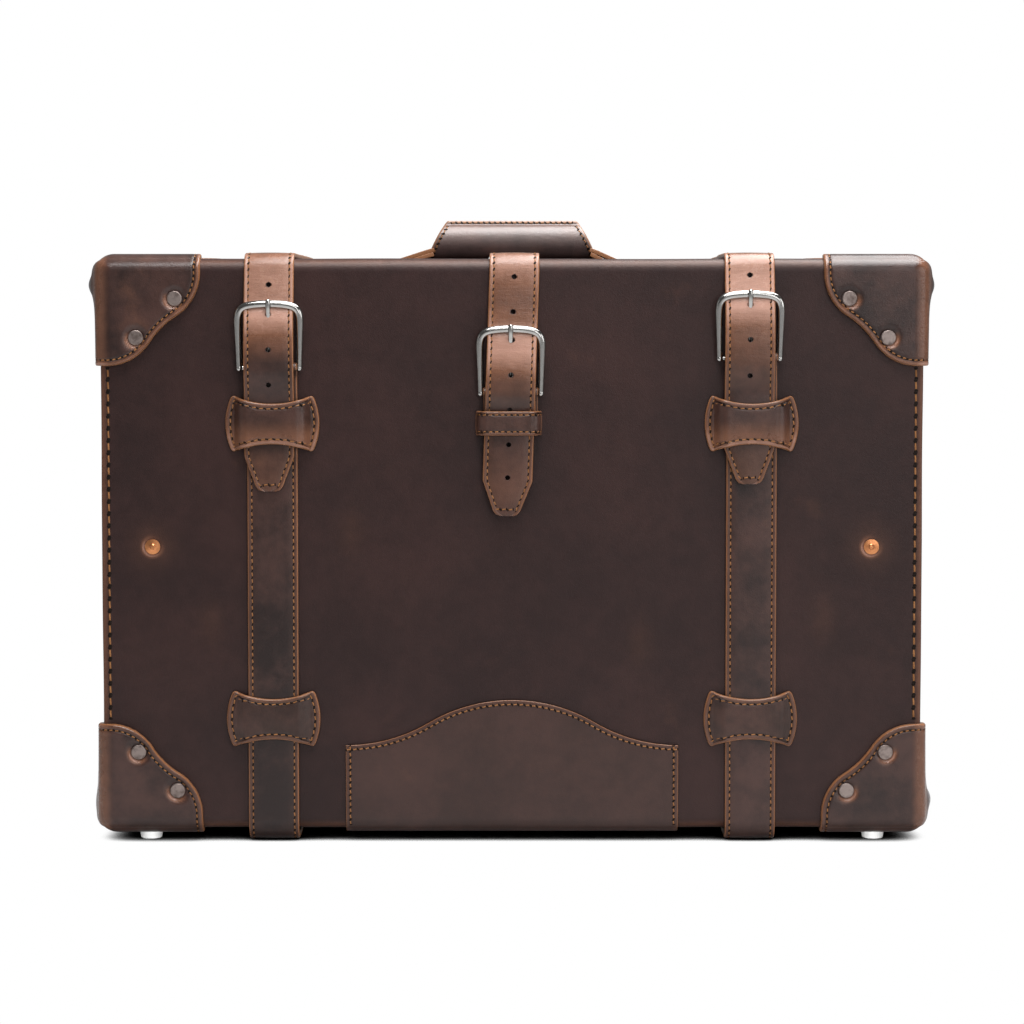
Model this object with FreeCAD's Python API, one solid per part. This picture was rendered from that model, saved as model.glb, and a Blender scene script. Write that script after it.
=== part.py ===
import FreeCAD, Part
import math
import os

# A hard-sided leather suitcase of two equal halves, hinged along the bottom.
# X runs across the case, the front faces -Y, Z is up and the feet stand on Z = 0.
# Sizes are in millimetres.

# Driving dimensions of the case
WIDTH = 614.5
HEIGHT = 428.0
HALF_DEPTH = 100.0
FRAME_SHIFT_Y = 2.95       # centres the whole object, buckles included, over the origin
FOOT_HEIGHT = 9.0
CORNER_RADIUS = 10.5       # of the case, seen from the front
EDGE_RADIUS = 10.0         # where the front leather rolls over the top and the bottom
LID_GAP = 0.3              # between the two halves at the split
PLAY = 0.3                 # between pieces that move against each other

# Wall layers, from the outside in
LEATHER = 2.0
BOARD = 3.0
LINING = 1.0

# Locating lip inside the split
LIP_THICKNESS = 3.0
LIP_PLAY = 0.5
LIP_INTO_BASE = 14.0
LIP_INTO_LID = 8.0

# Corner caps
CAP_LEATHER = 3.3
CAP_ACROSS = 75.4
CAP_UPRIGHT = 80.0
CAP_DEEP = 70.0
CAP_STRAIGHT = 6.0         # straight run at each end of the scalloped edge
CAP_LOBE = 38.0
CAP_SCALLOP = 66.0
CAP_RIVETS = [(56.6, 30.0), (27.6, 59.0)]   # in from the side, in from the top or bottom
CAP_RIVET_HEAD = 5.65
CAP_RIVET_RISE = 1.7
CAP_RIVET_EDGE = 0.9
RIVET_SHANK = 1.6

# Copper rivets and the packing straps that they hold
COPPER_X = 268.5
COPPER_UP = 213.0
COPPER_BURR = 5.65
COPPER_POST = 2.2
COPPER_INSIDE_HEAD = 4.5
PACKING_WIDTH = 30.0
PACKING_THICKNESS = 1.5
PACKING_END = 16.0         # strap beyond the rivet

# Feet
FOOT_X = 273.0
FOOT_FROM_SPLIT = 81.0
FOOT_RADIUS = 8.75
FOOT_LOW_RADIUS = 8.0
FOOT_EDGE = 1.2
FOOT_SHANK = 2.0

# Apron at the foot of the front
APRON_LEATHER = 2.5
APRON_HALF = 124.5
APRON_SIDE = 64.0
APRON_CROWN = 98.0
APRON_UNDER = 45.0

# Straps, belts and keepers
STRAP = 3.8
BELT_X = 178.5
BELT_HALF = 18.75
BILLET_HALF = 18.5
BILLET_SHIFT = -2.0        # the tongues sit a little to one side of the belts
BELT_FOLD = 6.0            # half length of the flexible bit across the hinge
OVERHANG = 9.0             # of the fixed strap past the split, clear of the lip
KEEPER = 3.0
KEEPER_HALF = 35.0
KEEPER_TALL = 21.5
KEEPER_WAIST = 15.0
KEEPER_CORNER = 30.0
KEEPER_INNER = 21.4
KEEPER_RAMP = 3.0
FRONT_KEEPERS_UP = {"lower": 84.0, "upper": 305.0}
BACK_KEEPERS_UP = [84.0, 305.0]
CENTRE_KEEPER_HALF = 24.5
CENTRE_KEEPER_TALL = 9.0
CENTRE_KEEPER_UP = 305.5
CENTRE_LEAN = 2.4          # degrees, the centre tongue hangs a little askew

# Buckles: heights of bar, tongue tip and holes above the case bottom
LEFT_HOLES = [408.3, 386.2, 360.1, 334.0, 307.9]
RIGHT_HOLES = [415.4, 393.4, 367.6, 340.9, 314.8]
CENTRE_HOLES = [414.2, 388.2, 367.2, 341.4, 315.4, 289.6, 265.0]
BUCKLES = {
    "left": {"x": BILLET_SHIFT - BELT_X, "bar": 346.4, "tip": 254.8, "holes": LEFT_HOLES},
    "centre": {"x": -1.0, "bar": 327.8, "tip": 236.5, "holes": CENTRE_HOLES},
    "right": {"x": BILLET_SHIFT + BELT_X, "bar": 353.6, "tip": 260.2, "holes": RIGHT_HOLES},
}
STRAP_X = {"left": BUCKLES["left"]["x"], "centre": 1.2, "right": BUCKLES["right"]["x"]}
CENTRE_KEEPER_X = -2.4
BAR_RADIUS = 2.1
BAR_OUT = 4.4              # bar centre in front of the leather
LOOP_RADIUS = 4.4
LOOP_HALF = 16.5
LOOP_SLOT = 3.4
WIRE = 2.0
FRAME_HALF = 22.5
FRAME_LONG = 50.0
FRAME_CORNER = 8.0
FRAME_TOP_OUT = 6.7        # top bar centre in front of the leather
BALL = 3.0
PRONG = 1.5
PRONG_RING = 3.9
PRONG_RING_HALF = 2.5
PRONG_PLAY = 0.05
PRONG_KNEE = (4.9, 35.0)   # out from the leather, up from the bar
PRONG_REST = (10.6, 50.5)
PRONG_TIP = (11.0, 53.5)
PRONG_SLOT = (2.6, 33.0, 49.0)
CHAPE_DOWN = 30.0

# Tongues: inner face as out from the leather, up from the buckle bar
TONGUE_PATH = [(PLAY, 45.5), (7.0, 36.0), (9.2, 8.0), (9.2, -3.0), (4.3, -13.0)]
HOLE_RADIUS = 1.85
TIP_LONG = 26.0
TIP_HALF = 9.5

# Centre strap on the top of the back half
ANCHOR_END = 85.0

# Handle
HANDLE_Y = 24.0
GRIP_HALF_WIDE = 12.0
GRIP_HALF_TALL = 13.8
GRIP_LIFT = 1.2            # under the grip
GRIP_NOTCH_HALF = 20.5     # the grip is pressed in over the centre strap
GRIP_NOTCH_UP = 4.6
GRIP_TOP_HALF = 50.8
GRIP_LOW_HALF = 66.2
SEAM_HALF = 2.2
SEAM_RISE = 2.6
TAB_HALF = 12.0
TAB = 4.0
TAB_AT_GRIP = (62.0, 8.5)  # across, above the case top
TAB_AT_CASE = (88.0, 0.0)
SLOT_FROM = 84.0
SLOT_TO = 98.0

# Stop hinges along the bottom
HINGE_X = [-240.0, 0.0, 240.0]
HINGE_LONG = 60.0
KNUCKLES = 5
KNUCKLE_GAP = 0.2
KNUCKLE_RADIUS = 2.7
PIN_RADIUS = 1.25
PIN_PLAY = 0.05
AXIS_DOWN = 3.0            # hinge axis below the leather
LEAF = 1.2
LEAF_REACH = 20.0
LEAF_CLEAR = 3.2
STOP_ANGLE = 50.3          # half the opening, with a little play
STOP_RADII = (4.1, 6.2)
STOP_BACK = 9.0
SCREW_HEAD = 2.2
SCREW_RISE = 0.5
SCREW_SHANK = 1.2
SCREW_OUT = 14.0
SCREW_X = 22.0

# Places worked out from the driving dimensions
BOTTOM = FOOT_HEIGHT
TOP = FOOT_HEIGHT + HEIGHT
HALF = WIDTH / 2
WALL = LEATHER + BOARD + LINING
AXIS_Z = BOTTOM - AXIS_DOWN
FAR = 400.0
LID = -1
BASE = 1
SIDES = {"left": -1, "right": 1}

PLANES = {
    "front": (lambda p, at: FreeCAD.Vector(p[0], at, p[1]), FreeCAD.Vector(0, 1, 0)),
    "side": (lambda p, at: FreeCAD.Vector(at, p[0], p[1]), FreeCAD.Vector(1, 0, 0)),
    "plan": (lambda p, at: FreeCAD.Vector(p[0], p[1], at), FreeCAD.Vector(0, 0, 1)),
}


def prism(outline, plane, low, high):
    """A closed outline carried from low to high, square to its plane.

    A step of the outline is a corner, or a pair (middle, end) for an arc.
    """
    place, along = PLANES[plane]
    edges = []
    here = outline[0]
    for step in outline[1:] + [outline[0]]:
        is_arc = isinstance(step[0], tuple)
        end = step[1] if is_arc else step
        if is_arc:
            edges.append(Part.Arc(place(here, low), place(step[0], low), place(end, low)).toShape())
        elif math.dist(here, end) > 1e-6:
            edges.append(Part.LineSegment(place(here, low), place(end, low)).toShape())
        here = end
    return Part.Face(Part.Wire(edges)).extrude(along * (high - low))


def turned(outline, at, axis):
    """An outline of (radius, height) steps turned round an axis through a point."""
    place = PLANES["front"][0]
    edges = []
    here = outline[0]
    for step in outline[1:] + [outline[0]]:
        is_arc = isinstance(step[0], tuple)
        end = step[1] if is_arc else step
        if is_arc:
            edges.append(Part.Arc(place(here, 0), place(step[0], 0), place(end, 0)).toShape())
        else:
            edges.append(Part.LineSegment(place(here, 0), place(end, 0)).toShape())
        here = end
    face = Part.Face(Part.Wire(edges))
    shape = face.revolve(FreeCAD.Vector(0, 0, 0), FreeCAD.Vector(0, 0, 1), 360)
    up = FreeCAD.Vector(0, 0, 1)
    shape.Placement = FreeCAD.Placement(FreeCAD.Vector(*at), FreeCAD.Rotation(up, FreeCAD.Vector(*axis)))
    return shape


def box(x, y, z):
    """A block between the two numbers given for each direction."""
    low = FreeCAD.Vector(min(x), min(y), min(z))
    return Part.makeBox(max(x) - min(x), max(y) - min(y), max(z) - min(z), low)


def rod(radius, start, end):
    """A round bar from one point to another."""
    run = FreeCAD.Vector(*end) - FreeCAD.Vector(*start)
    return Part.makeCylinder(radius, run.Length, FreeCAD.Vector(*start), run)


def group(shapes):
    """Separate solids in one node."""
    return Part.makeCompound([solid for shape in shapes for solid in shape.Solids])


def save(name, shape):
    """Write one piece, moved so that the whole object stands centred over the origin."""
    placed = shape.copy()
    placed.translate(FreeCAD.Vector(0, FRAME_SHIFT_Y, 0))
    if not placed.isValid() or placed.Volume <= 0:
        raise ValueError(name + " is not a sound solid")
    placed.exportStep("parts/" + name + ".step")


def rounded_rectangle(half, low, high, radius):
    """An upright rectangle with round corners, as seen from the front."""
    bow = radius * (1 - math.sqrt(0.5))
    return [
        (half - radius, low),
        ((half - bow, low + bow), (half, low + radius)),
        (half, high - radius),
        ((half - bow, high - bow), (half - radius, high)),
        (radius - half, high),
        ((bow - half, high - bow), (-half, high - radius)),
        (-half, low + radius),
        ((bow - half, low + bow), (radius - half, low)),
    ]


def half_block(side, grow, near):
    """The filled shape of one half, grown outwards by a distance, from near the split outwards."""
    low = BOTTOM - grow
    high = TOP + grow
    far = HALF_DEPTH + grow
    radius = EDGE_RADIUS + grow
    bow = radius * (1 - math.sqrt(0.5))
    front = rounded_rectangle(HALF + grow, low, high, CORNER_RADIUS + grow)
    profile = [
        (side * near, low),
        (side * (far - radius), low),
        ((side * (far - bow), low + bow), (side * far, low + radius)),
        (side * far, high - radius),
        ((side * (far - bow), high - bow), (side * (far - radius), high)),
        (side * near, high),
    ]
    across = prism(profile, "side", -FAR, FAR)
    return prism(front, "front", -FAR, FAR).common(across)


def ogee(across, upright, reach):
    """The outline of a cap's flap, from the corner of the case at (0, 0).

    Two convex lobes are joined by one concave scallop that is tangent to both.
    """
    lobe_a = (across - CAP_LOBE, CAP_STRAIGHT)
    lobe_b = (CAP_STRAIGHT, upright - CAP_LOBE)
    middle = ((lobe_a[0] + lobe_b[0]) / 2, (lobe_a[1] + lobe_b[1]) / 2)
    gap = math.dist(lobe_a, lobe_b)
    rise = math.sqrt((CAP_LOBE + CAP_SCALLOP) ** 2 - gap ** 2 / 4)
    out = ((lobe_b[1] - lobe_a[1]) / gap, (lobe_a[0] - lobe_b[0]) / gap)
    scallop = (middle[0] + out[0] * rise, middle[1] + out[1] * rise)
    toward = CAP_LOBE / (CAP_LOBE + CAP_SCALLOP)
    join_a = tuple(a + (s - a) * toward for a, s in zip(lobe_a, scallop))
    join_b = tuple(b + (s - b) * toward for b, s in zip(lobe_b, scallop))
    dip = (scallop[0] - out[0] * CAP_SCALLOP, scallop[1] - out[1] * CAP_SCALLOP)

    def on_lobe(centre, start, end):
        """The middle of the arc round a lobe from one point to another."""
        way = [(s + e) / 2 - c for s, e, c in zip(start, end, centre)]
        size = math.hypot(*way)
        return tuple(c + w * CAP_LOBE / size for c, w in zip(centre, way))

    begin = (across, CAP_STRAIGHT)
    finish = (CAP_STRAIGHT, upright)
    return [
        (-reach, -reach),
        (across, -reach),
        begin,
        (on_lobe(lobe_a, begin, join_a), join_a),
        (dip, join_b),
        (on_lobe(lobe_b, join_b, finish), finish),
        (-reach, upright),
    ]


def mapped(outline, change):
    """An outline with each of its points changed."""
    return [
        (change(step[0]), change(step[1])) if isinstance(step[0], tuple) else change(step)
        for step in outline
    ]


def corner_cap(side, x_side, z_side):
    """One corner cap: flaps on the face, the top or bottom, and the end of the case."""
    reach = 2 * CAP_LEATHER
    roll = EDGE_RADIUS + CAP_LEATHER
    edge_z = TOP if z_side > 0 else BOTTOM
    face_y = side * HALF_DEPTH

    def from_side(u):
        return x_side * (HALF - u)

    def from_edge(v):
        return edge_z - z_side * v

    def from_face(w):
        return side * (HALF_DEPTH - w)

    shell = half_block(side, CAP_LEATHER, 1.0).cut(half_block(side, 0.0, -1.0))
    front = mapped(ogee(CAP_ACROSS, CAP_UPRIGHT, reach), lambda p: (from_side(p[0]), from_edge(p[1])))
    plan = mapped(ogee(CAP_ACROSS, CAP_DEEP, reach), lambda p: (from_side(p[0]), from_face(p[1])))
    end = mapped(ogee(CAP_DEEP, CAP_UPRIGHT, reach), lambda p: (from_face(p[0]), from_edge(p[1])))
    deep = sorted([face_y + side * reach, from_face(roll)])
    tall = sorted([edge_z + z_side * reach, from_edge(roll)])
    wide = sorted([x_side * (HALF + reach), x_side * (HALF - CAP_LEATHER)])
    flaps = [prism(front, "front", *deep), prism(plan, "plan", *tall), prism(end, "side", *wide)]
    cap = flaps[0].fuse(flaps[1:]).common(shell)
    for at in cap_rivet_places(side, x_side, z_side):
        cap = cap.cut(shank_hole(at, side, RIVET_SHANK))
    if z_side < 0:
        cap = cap.cut(foot_hole(side, x_side))
    return cap


def cap_rivet_places(side, x_side, z_side):
    """Points on the leather under the rivets of one cap."""
    edge_z = TOP if z_side > 0 else BOTTOM
    return [
        (x_side * (HALF - u), side * HALF_DEPTH, edge_z - z_side * v)
        for u, v in CAP_RIVETS
    ]


def shank_hole(at, side, radius):
    """A round hole through the face of one half, from a point on the leather."""
    start = (at[0], at[1] + side * 2 * CAP_LEATHER, at[2])
    end = (at[0], at[1] - side * 2 * WALL, at[2])
    return rod(radius, start, end)


def foot_hole(side, x_side):
    """The hole for a foot's shank through cap, leather and board."""
    at = (x_side * FOOT_X, side * FOOT_FROM_SPLIT)
    return rod(FOOT_SHANK, (*at, 0), (*at, BOTTOM + LEATHER + BOARD))


def cap_rivets(side):
    """The flat-headed rivets of the four caps of one half."""
    shank = CAP_LEATHER + LEATHER + BOARD
    bow = CAP_RIVET_EDGE * (1 - math.sqrt(0.5))
    outline = [
        (0, -shank), (RIVET_SHANK, -shank), (RIVET_SHANK, 0), (CAP_RIVET_HEAD, 0),
        (CAP_RIVET_HEAD, CAP_RIVET_RISE - CAP_RIVET_EDGE),
        ((CAP_RIVET_HEAD - bow, CAP_RIVET_RISE - bow), (CAP_RIVET_HEAD - CAP_RIVET_EDGE, CAP_RIVET_RISE)),
        (0, CAP_RIVET_RISE),
    ]
    rivets = []
    for x_side in SIDES.values():
        for z_side in (-1, 1):
            for x, y, z in cap_rivet_places(side, x_side, z_side):
                rivets.append(turned(outline, (x, y + side * CAP_LEATHER, z), (0, side, 0)))
    return group(rivets)


def copper_places(side):
    """Points on the leather under the two copper rivets of one half."""
    return [(x_side * COPPER_X, side * HALF_DEPTH, BOTTOM + COPPER_UP) for x_side in SIDES.values()]


def copper_rivets(side):
    """Copper rivets with a burr outside and a flat head over the packing strap inside."""
    shank = WALL + PACKING_THICKNESS
    burr_edge = 0.8
    burr_rise = 1.3
    post_rise = 2.3
    round_off = 0.7
    outline = [
        (0, -shank - 1), (COPPER_INSIDE_HEAD, -shank - 1), (COPPER_INSIDE_HEAD, -shank),
        (COPPER_POST, -shank), (COPPER_POST, 0), (COPPER_BURR, 0), (COPPER_BURR, burr_edge),
        (COPPER_POST, burr_rise), (COPPER_POST, post_rise - round_off),
        (COPPER_POST - round_off, post_rise), (0, post_rise),
    ]
    return group([turned(outline, at, (0, side, 0)) for at in copper_places(side)])


def feet(side):
    """The two round metal feet of one half, standing on the caps' lower flaps."""
    seat = BOTTOM - CAP_LEATHER
    inner = BOTTOM + LEATHER + BOARD
    bow = FOOT_EDGE * (1 - math.sqrt(0.5))
    outline = [
        (0, 0), (FOOT_LOW_RADIUS - FOOT_EDGE, 0),
        ((FOOT_LOW_RADIUS - bow, bow), (FOOT_LOW_RADIUS, FOOT_EDGE)),
        (FOOT_RADIUS, seat), (FOOT_SHANK, seat), (FOOT_SHANK, inner), (0, inner),
    ]
    return group([
        turned(outline, (x_side * FOOT_X, side * FOOT_FROM_SPLIT, 0), (0, 0, 1))
        for x_side in SIDES.values()
    ])


def holes_in_walls(side):
    """Every fastener hole in the leather and board of one half, as one tool."""
    tools = []
    for x_side in SIDES.values():
        for z_side in (-1, 1):
            for at in cap_rivet_places(side, x_side, z_side):
                tools.append(shank_hole(at, side, RIVET_SHANK))
        tools.append(foot_hole(side, x_side))
    for at in copper_places(side):
        tools.append(shank_hole(at, side, COPPER_POST))
    for x, y in screw_places(side):
        tools.append(rod(SCREW_SHANK, (x, y, BOTTOM - LEAF - 1), (x, y, BOTTOM + LEATHER + BOARD)))
    if side == BASE:
        for x_side in SIDES.values():
            tools.append(box(
                (x_side * SLOT_FROM, x_side * SLOT_TO),
                (HANDLE_Y - TAB_HALF - PLAY, HANDLE_Y + TAB_HALF + PLAY),
                (TOP - LEATHER - BOARD, TOP + 1),
            ))
    return Part.makeCompound(tools)


def half_case(side, name):
    """Board core, leather wrap, side leathers and lining of one half."""
    near = LID_GAP if side == LID else 0.0
    outer = half_block(side, 0.0, near)
    holes = holes_in_walls(side)
    skin = outer.cut(half_block(side, -LEATHER, -1.0))
    ends = [box((s * (HALF - LEATHER), s * FAR), (-FAR, FAR), (0, 2 * FAR)) for s in SIDES.values()]
    core = half_block(side, -LEATHER, near).cut(half_block(side, -LEATHER - BOARD, -1.0))
    lining = half_block(side, -LEATHER - BOARD, near).cut(half_block(side, -WALL, -1.0))
    copper_holes = [shank_hole(at, side, COPPER_POST) for at in copper_places(side)]
    save(name + "_core", core.cut(holes))
    save(name + "_wrap", skin.cut(ends).cut(holes))
    save(name + "_sides", group([skin.common(end) for end in ends]))
    save(name + "_lining", lining.cut(copper_holes))


def lip():
    """Four strips of board inside the split that the lid closes over, clear of the rounded corners."""
    inner = WALL + LIP_THICKNESS
    run = HALF - CORNER_RADIUS
    reaches = [(0.0, LIP_INTO_BASE, WALL), (-LIP_INTO_LID, 0.0, WALL + LIP_PLAY)]
    strips = []
    for side in (-1, 1):
        edge = TOP if side > 0 else BOTTOM
        uprights = []
        levels = []
        for near, far, outer in reaches:
            across = (side * (HALF - inner), side * (HALF - outer))
            uprights.append(box(across, (near, far), (BOTTOM + CORNER_RADIUS, TOP - CORNER_RADIUS)))
            levels.append(box((-run, run), (near, far), (edge - side * inner, edge - side * outer)))
        strips.append(uprights[0].fuse(uprights[1]))
        strips.append(levels[0].fuse(levels[1]))
    return group(strips)


def packing_strap(side):
    """A flat strap inside one half, held by the two copper rivets."""
    inner = HALF_DEPTH - WALL
    strap = box(
        (-COPPER_X - PACKING_END, COPPER_X + PACKING_END),
        (side * inner, side * (inner - PACKING_THICKNESS)),
        (BOTTOM + COPPER_UP - PACKING_WIDTH / 2, BOTTOM + COPPER_UP + PACKING_WIDTH / 2),
    )
    return strap.cut([shank_hole(at, side, COPPER_POST) for at in copper_places(side)])


def apron():
    """The scalloped leather at the foot of the front, wrapped under the bottom."""
    shell = half_block(LID, APRON_LEATHER, 1.0).cut(half_block(LID, 0.0, -1.0))
    middle_x = APRON_HALF / 2
    middle_z = (APRON_SIDE + APRON_CROWN) / 2
    rise = (APRON_CROWN - APRON_SIDE) / 2
    radius = (middle_x ** 2 + rise ** 2) / (2 * rise)
    turn = math.asin(middle_x / radius) / 2
    bow_x = radius * math.sin(turn)
    bow_z = radius * (1 - math.cos(turn))

    def point(x, z):
        return (x, BOTTOM + z)

    outline = [
        point(-APRON_HALF, -2 * APRON_LEATHER), point(APRON_HALF, -2 * APRON_LEATHER),
        point(APRON_HALF, APRON_SIDE),
        (point(APRON_HALF - bow_x, APRON_SIDE + bow_z), point(middle_x, middle_z)),
        (point(bow_x, APRON_CROWN - bow_z), point(0, APRON_CROWN)),
        (point(-bow_x, APRON_CROWN - bow_z), point(-middle_x, middle_z)),
        (point(bow_x - APRON_HALF, APRON_SIDE + bow_z), point(-APRON_HALF, APRON_SIDE)),
    ]
    roll = HALF_DEPTH - EDGE_RADIUS - APRON_LEATHER
    face = prism(outline, "front", -HALF_DEPTH - 2 * APRON_LEATHER, -roll)
    under = box(
        (-APRON_HALF, APRON_HALF),
        (-HALF_DEPTH - APRON_LEATHER, APRON_UNDER - HALF_DEPTH),
        (BOTTOM - 2 * APRON_LEATHER, BOTTOM + EDGE_RADIUS),
    )
    return face.fuse(under).common(shell)


def quarter(centre, radius, y_side, z_side):
    """The middle of a quarter arc round a rolled edge."""
    reach = radius * math.sqrt(0.5)
    return (centre[0] + y_side * reach, centre[1] + z_side * reach)


def belt_run(side, end_z):
    """The profile of a belt from the hinge fold under the case up one face to a height."""
    centre = (side * (HALF_DEPTH - EDGE_RADIUS), BOTTOM + EDGE_RADIUS)
    face = HALF_DEPTH
    return [
        (side * BELT_FOLD, BOTTOM), (centre[0], BOTTOM),
        (quarter(centre, EDGE_RADIUS, side, -1), (side * face, centre[1])),
        (side * face, end_z), (side * (face + STRAP), end_z), (side * (face + STRAP), centre[1]),
        (quarter(centre, EDGE_RADIUS + STRAP, side, -1), (centre[0], BOTTOM - STRAP)),
        (side * BELT_FOLD, BOTTOM - STRAP),
    ]


def bar_loop(buckle, x_centre, down_to):
    """A strap end folded round a buckle bar, with its slot for the prong."""
    bar_z = BOTTOM + buckle["bar"]
    bar_y = -HALF_DEPTH - BAR_OUT
    x = buckle["x"]
    loop = rod(LOOP_RADIUS, (x - LOOP_HALF, bar_y, bar_z), (x + LOOP_HALF, bar_y, bar_z))
    run = box(
        (x_centre - LOOP_HALF, x_centre + LOOP_HALF),
        (-HALF_DEPTH, -HALF_DEPTH - STRAP),
        (down_to, bar_z),
    )
    bore = rod(BAR_RADIUS + PLAY, (x - FAR, bar_y, bar_z), (x + FAR, bar_y, bar_z))
    slot = box(
        (x - LOOP_SLOT, x + LOOP_SLOT),
        (bar_y - 2 * LOOP_RADIUS, -HALF_DEPTH + PLAY),
        (bar_z - LOOP_RADIUS - PLAY, bar_z + 2 * LOOP_RADIUS),
    )
    return loop.fuse(run).cut(bore).cut(slot)


def front_belt(x_side, buckle):
    """A belt of the lid: from the hinge fold, up the front, to its buckle bar."""
    x = x_side * BELT_X
    narrow_z = BOTTOM + buckle["bar"] - 3 * LOOP_RADIUS
    belt = prism(belt_run(LID, narrow_z), "side", x - BELT_HALF, x + BELT_HALF)
    return belt.fuse(bar_loop(buckle, x, narrow_z))


def back_belt(x_side):
    """A belt of the base: from the hinge fold, up the back and over the top, past the split."""
    x = x_side * BELT_X
    low = belt_run(BASE, TOP - EDGE_RADIUS)
    centre = (HALF_DEPTH - EDGE_RADIUS, TOP - EDGE_RADIUS)
    over = [
        (quarter(centre, EDGE_RADIUS, 1, 1), (centre[0], TOP)),
        *top_end(),
        (centre[0], TOP + STRAP),
        (quarter(centre, EDGE_RADIUS + STRAP, 1, 1), (HALF_DEPTH + STRAP, centre[1])),
    ]
    return prism(low[:4] + over + low[5:], "side", x - BELT_HALF, x + BELT_HALF)


def top_end():
    """The end of a fixed strap on the top: it clears the lid, and overhangs the lip."""
    return [
        (PLAY, TOP), (PLAY, TOP + PLAY), (-OVERHANG, TOP + PLAY), (-OVERHANG, TOP + PLAY + STRAP),
        (PLAY, TOP + PLAY + STRAP), (2 * STRAP, TOP + STRAP),
    ]


def belt_fold(x_side):
    """The flexible bit of a belt across the hinge."""
    x = x_side * BELT_X
    thick = (BOTTOM - STRAP, BOTTOM - PLAY)
    return box((x - BELT_HALF, x + BELT_HALF), (-BELT_FOLD, BELT_FOLD), thick)


def centre_anchor():
    """The fixed end of the centre strap on the top of the base, under the handle."""
    x = STRAP_X["centre"]
    point = ANCHOR_END - BILLET_HALF
    side_view = [(ANCHOR_END, TOP), *top_end(), (ANCHOR_END, TOP + STRAP)]
    strap = prism(side_view, "side", x - BILLET_HALF, x + BILLET_HALF)
    plan = [
        (x - BILLET_HALF, -2 * OVERHANG), (x + BILLET_HALF, -2 * OVERHANG), (x + BILLET_HALF, point),
        ((x, ANCHOR_END), (x - BILLET_HALF, point)),
    ]
    return strap.common(prism(plan, "plan", BOTTOM, TOP + 2 * STRAP))


def billet_top(x):
    """The first stretch of a tongue: along the lid's top and over its front edge."""
    centre = (EDGE_RADIUS - HALF_DEPTH, TOP - EDGE_RADIUS)
    inner = EDGE_RADIUS + PLAY
    outline = [
        (-OVERHANG, TOP + PLAY), (centre[0], TOP + PLAY),
        (quarter(centre, inner, -1, 1), (centre[0] - inner, centre[1])),
        (centre[0] - inner - STRAP, centre[1]),
        (quarter(centre, inner + STRAP, -1, 1), (centre[0], TOP + PLAY + STRAP)),
        (-OVERHANG, TOP + PLAY + STRAP),
    ]
    return prism(outline, "side", x - BILLET_HALF, x + BILLET_HALF)


def billet_front(x, buckle, lean):
    """The second stretch of a tongue: down the front, through the buckle, to its tip."""
    bar_z = BOTTOM + buckle["bar"]
    tip_z = BOTTOM + buckle["tip"]
    start_z = TOP - EDGE_RADIUS
    inner = [(PLAY, start_z)] + [(out, bar_z + up) for out, up in TONGUE_PATH]
    inner.append((TONGUE_PATH[-1][0], tip_z))
    near = [(-HALF_DEPTH - out, z) for out, z in inner]
    away = [(y - STRAP, z) for y, z in near]
    tongue = prism(near + away[::-1], "side", x - BILLET_HALF, x + BILLET_HALF)
    taper_z = tip_z + TIP_LONG
    round_off = TIP_HALF / 2
    shape = [
        (x - TIP_HALF, tip_z + round_off), (x - TIP_HALF + round_off, tip_z),
        (x + TIP_HALF - round_off, tip_z), (x + TIP_HALF, tip_z + round_off),
        (x + BILLET_HALF, taper_z), (x + BILLET_HALF, start_z),
        (x - BILLET_HALF, start_z), (x - BILLET_HALF, taper_z),
    ]
    tongue = tongue.common(prism(shape, "front", -2 * HALF_DEPTH, 0))
    for up in buckle["holes"]:
        z = BOTTOM + up
        tongue = tongue.cut(rod(HOLE_RADIUS, (x, -HALF_DEPTH, z), (x, -2 * HALF_DEPTH, z)))
    half, low, high = PRONG_SLOT
    slot = box((x - half, x + half), (-HALF_DEPTH, -2 * HALF_DEPTH), (bar_z + low, bar_z + high))
    tongue = tongue.cut(slot)
    if lean:
        tongue.rotate(FreeCAD.Vector(x, 0, start_z), FreeCAD.Vector(0, 1, 0), lean)
        tongue = tongue.common(box((-FAR, FAR), (-FAR, FAR), (0, start_z)))
    return tongue


def buckle_frame(buckle):
    """A bent wire frame with its bar and the bar's round ends."""
    tall = FRAME_LONG - FRAME_CORNER
    flat = FRAME_HALF - FRAME_CORNER
    bow = FRAME_CORNER * math.sqrt(0.5)

    def point(x, z):
        return FreeCAD.Vector(x, 0, z)

    def corner(s):
        """The round corner of the frame at one side, from the arm to the top bar."""
        middle = point(s * (flat + bow), tall + bow)
        return Part.Arc(point(s * FRAME_HALF, tall), middle, point(s * flat, FRAME_LONG)).toShape()

    path = Part.Wire([
        Part.LineSegment(point(-FRAME_HALF, 0), point(-FRAME_HALF, tall)).toShape(),
        corner(-1),
        Part.LineSegment(point(-flat, FRAME_LONG), point(flat, FRAME_LONG)).toShape(),
        corner(1),
        Part.LineSegment(point(FRAME_HALF, tall), point(FRAME_HALF, 0)).toShape(),
    ])
    ring = Part.Wire([Part.makeCircle(WIRE, point(-FRAME_HALF, 0), FreeCAD.Vector(0, 0, 1))])
    frame = path.makePipeShell([ring], True, True)
    tilt = math.degrees(math.asin((FRAME_TOP_OUT - BAR_OUT) / FRAME_LONG))
    frame.rotate(FreeCAD.Vector(0, 0, 0), FreeCAD.Vector(1, 0, 0), tilt)
    bar = rod(BAR_RADIUS, (-FRAME_HALF, 0, 0), (FRAME_HALF, 0, 0))
    balls = [Part.makeSphere(BALL, FreeCAD.Vector(s * FRAME_HALF, 0, 0)) for s in SIDES.values()]
    frame = frame.fuse([bar, *balls])
    frame.translate(FreeCAD.Vector(buckle["x"], -HALF_DEPTH - BAR_OUT, BOTTOM + buckle["bar"]))
    return frame


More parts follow.
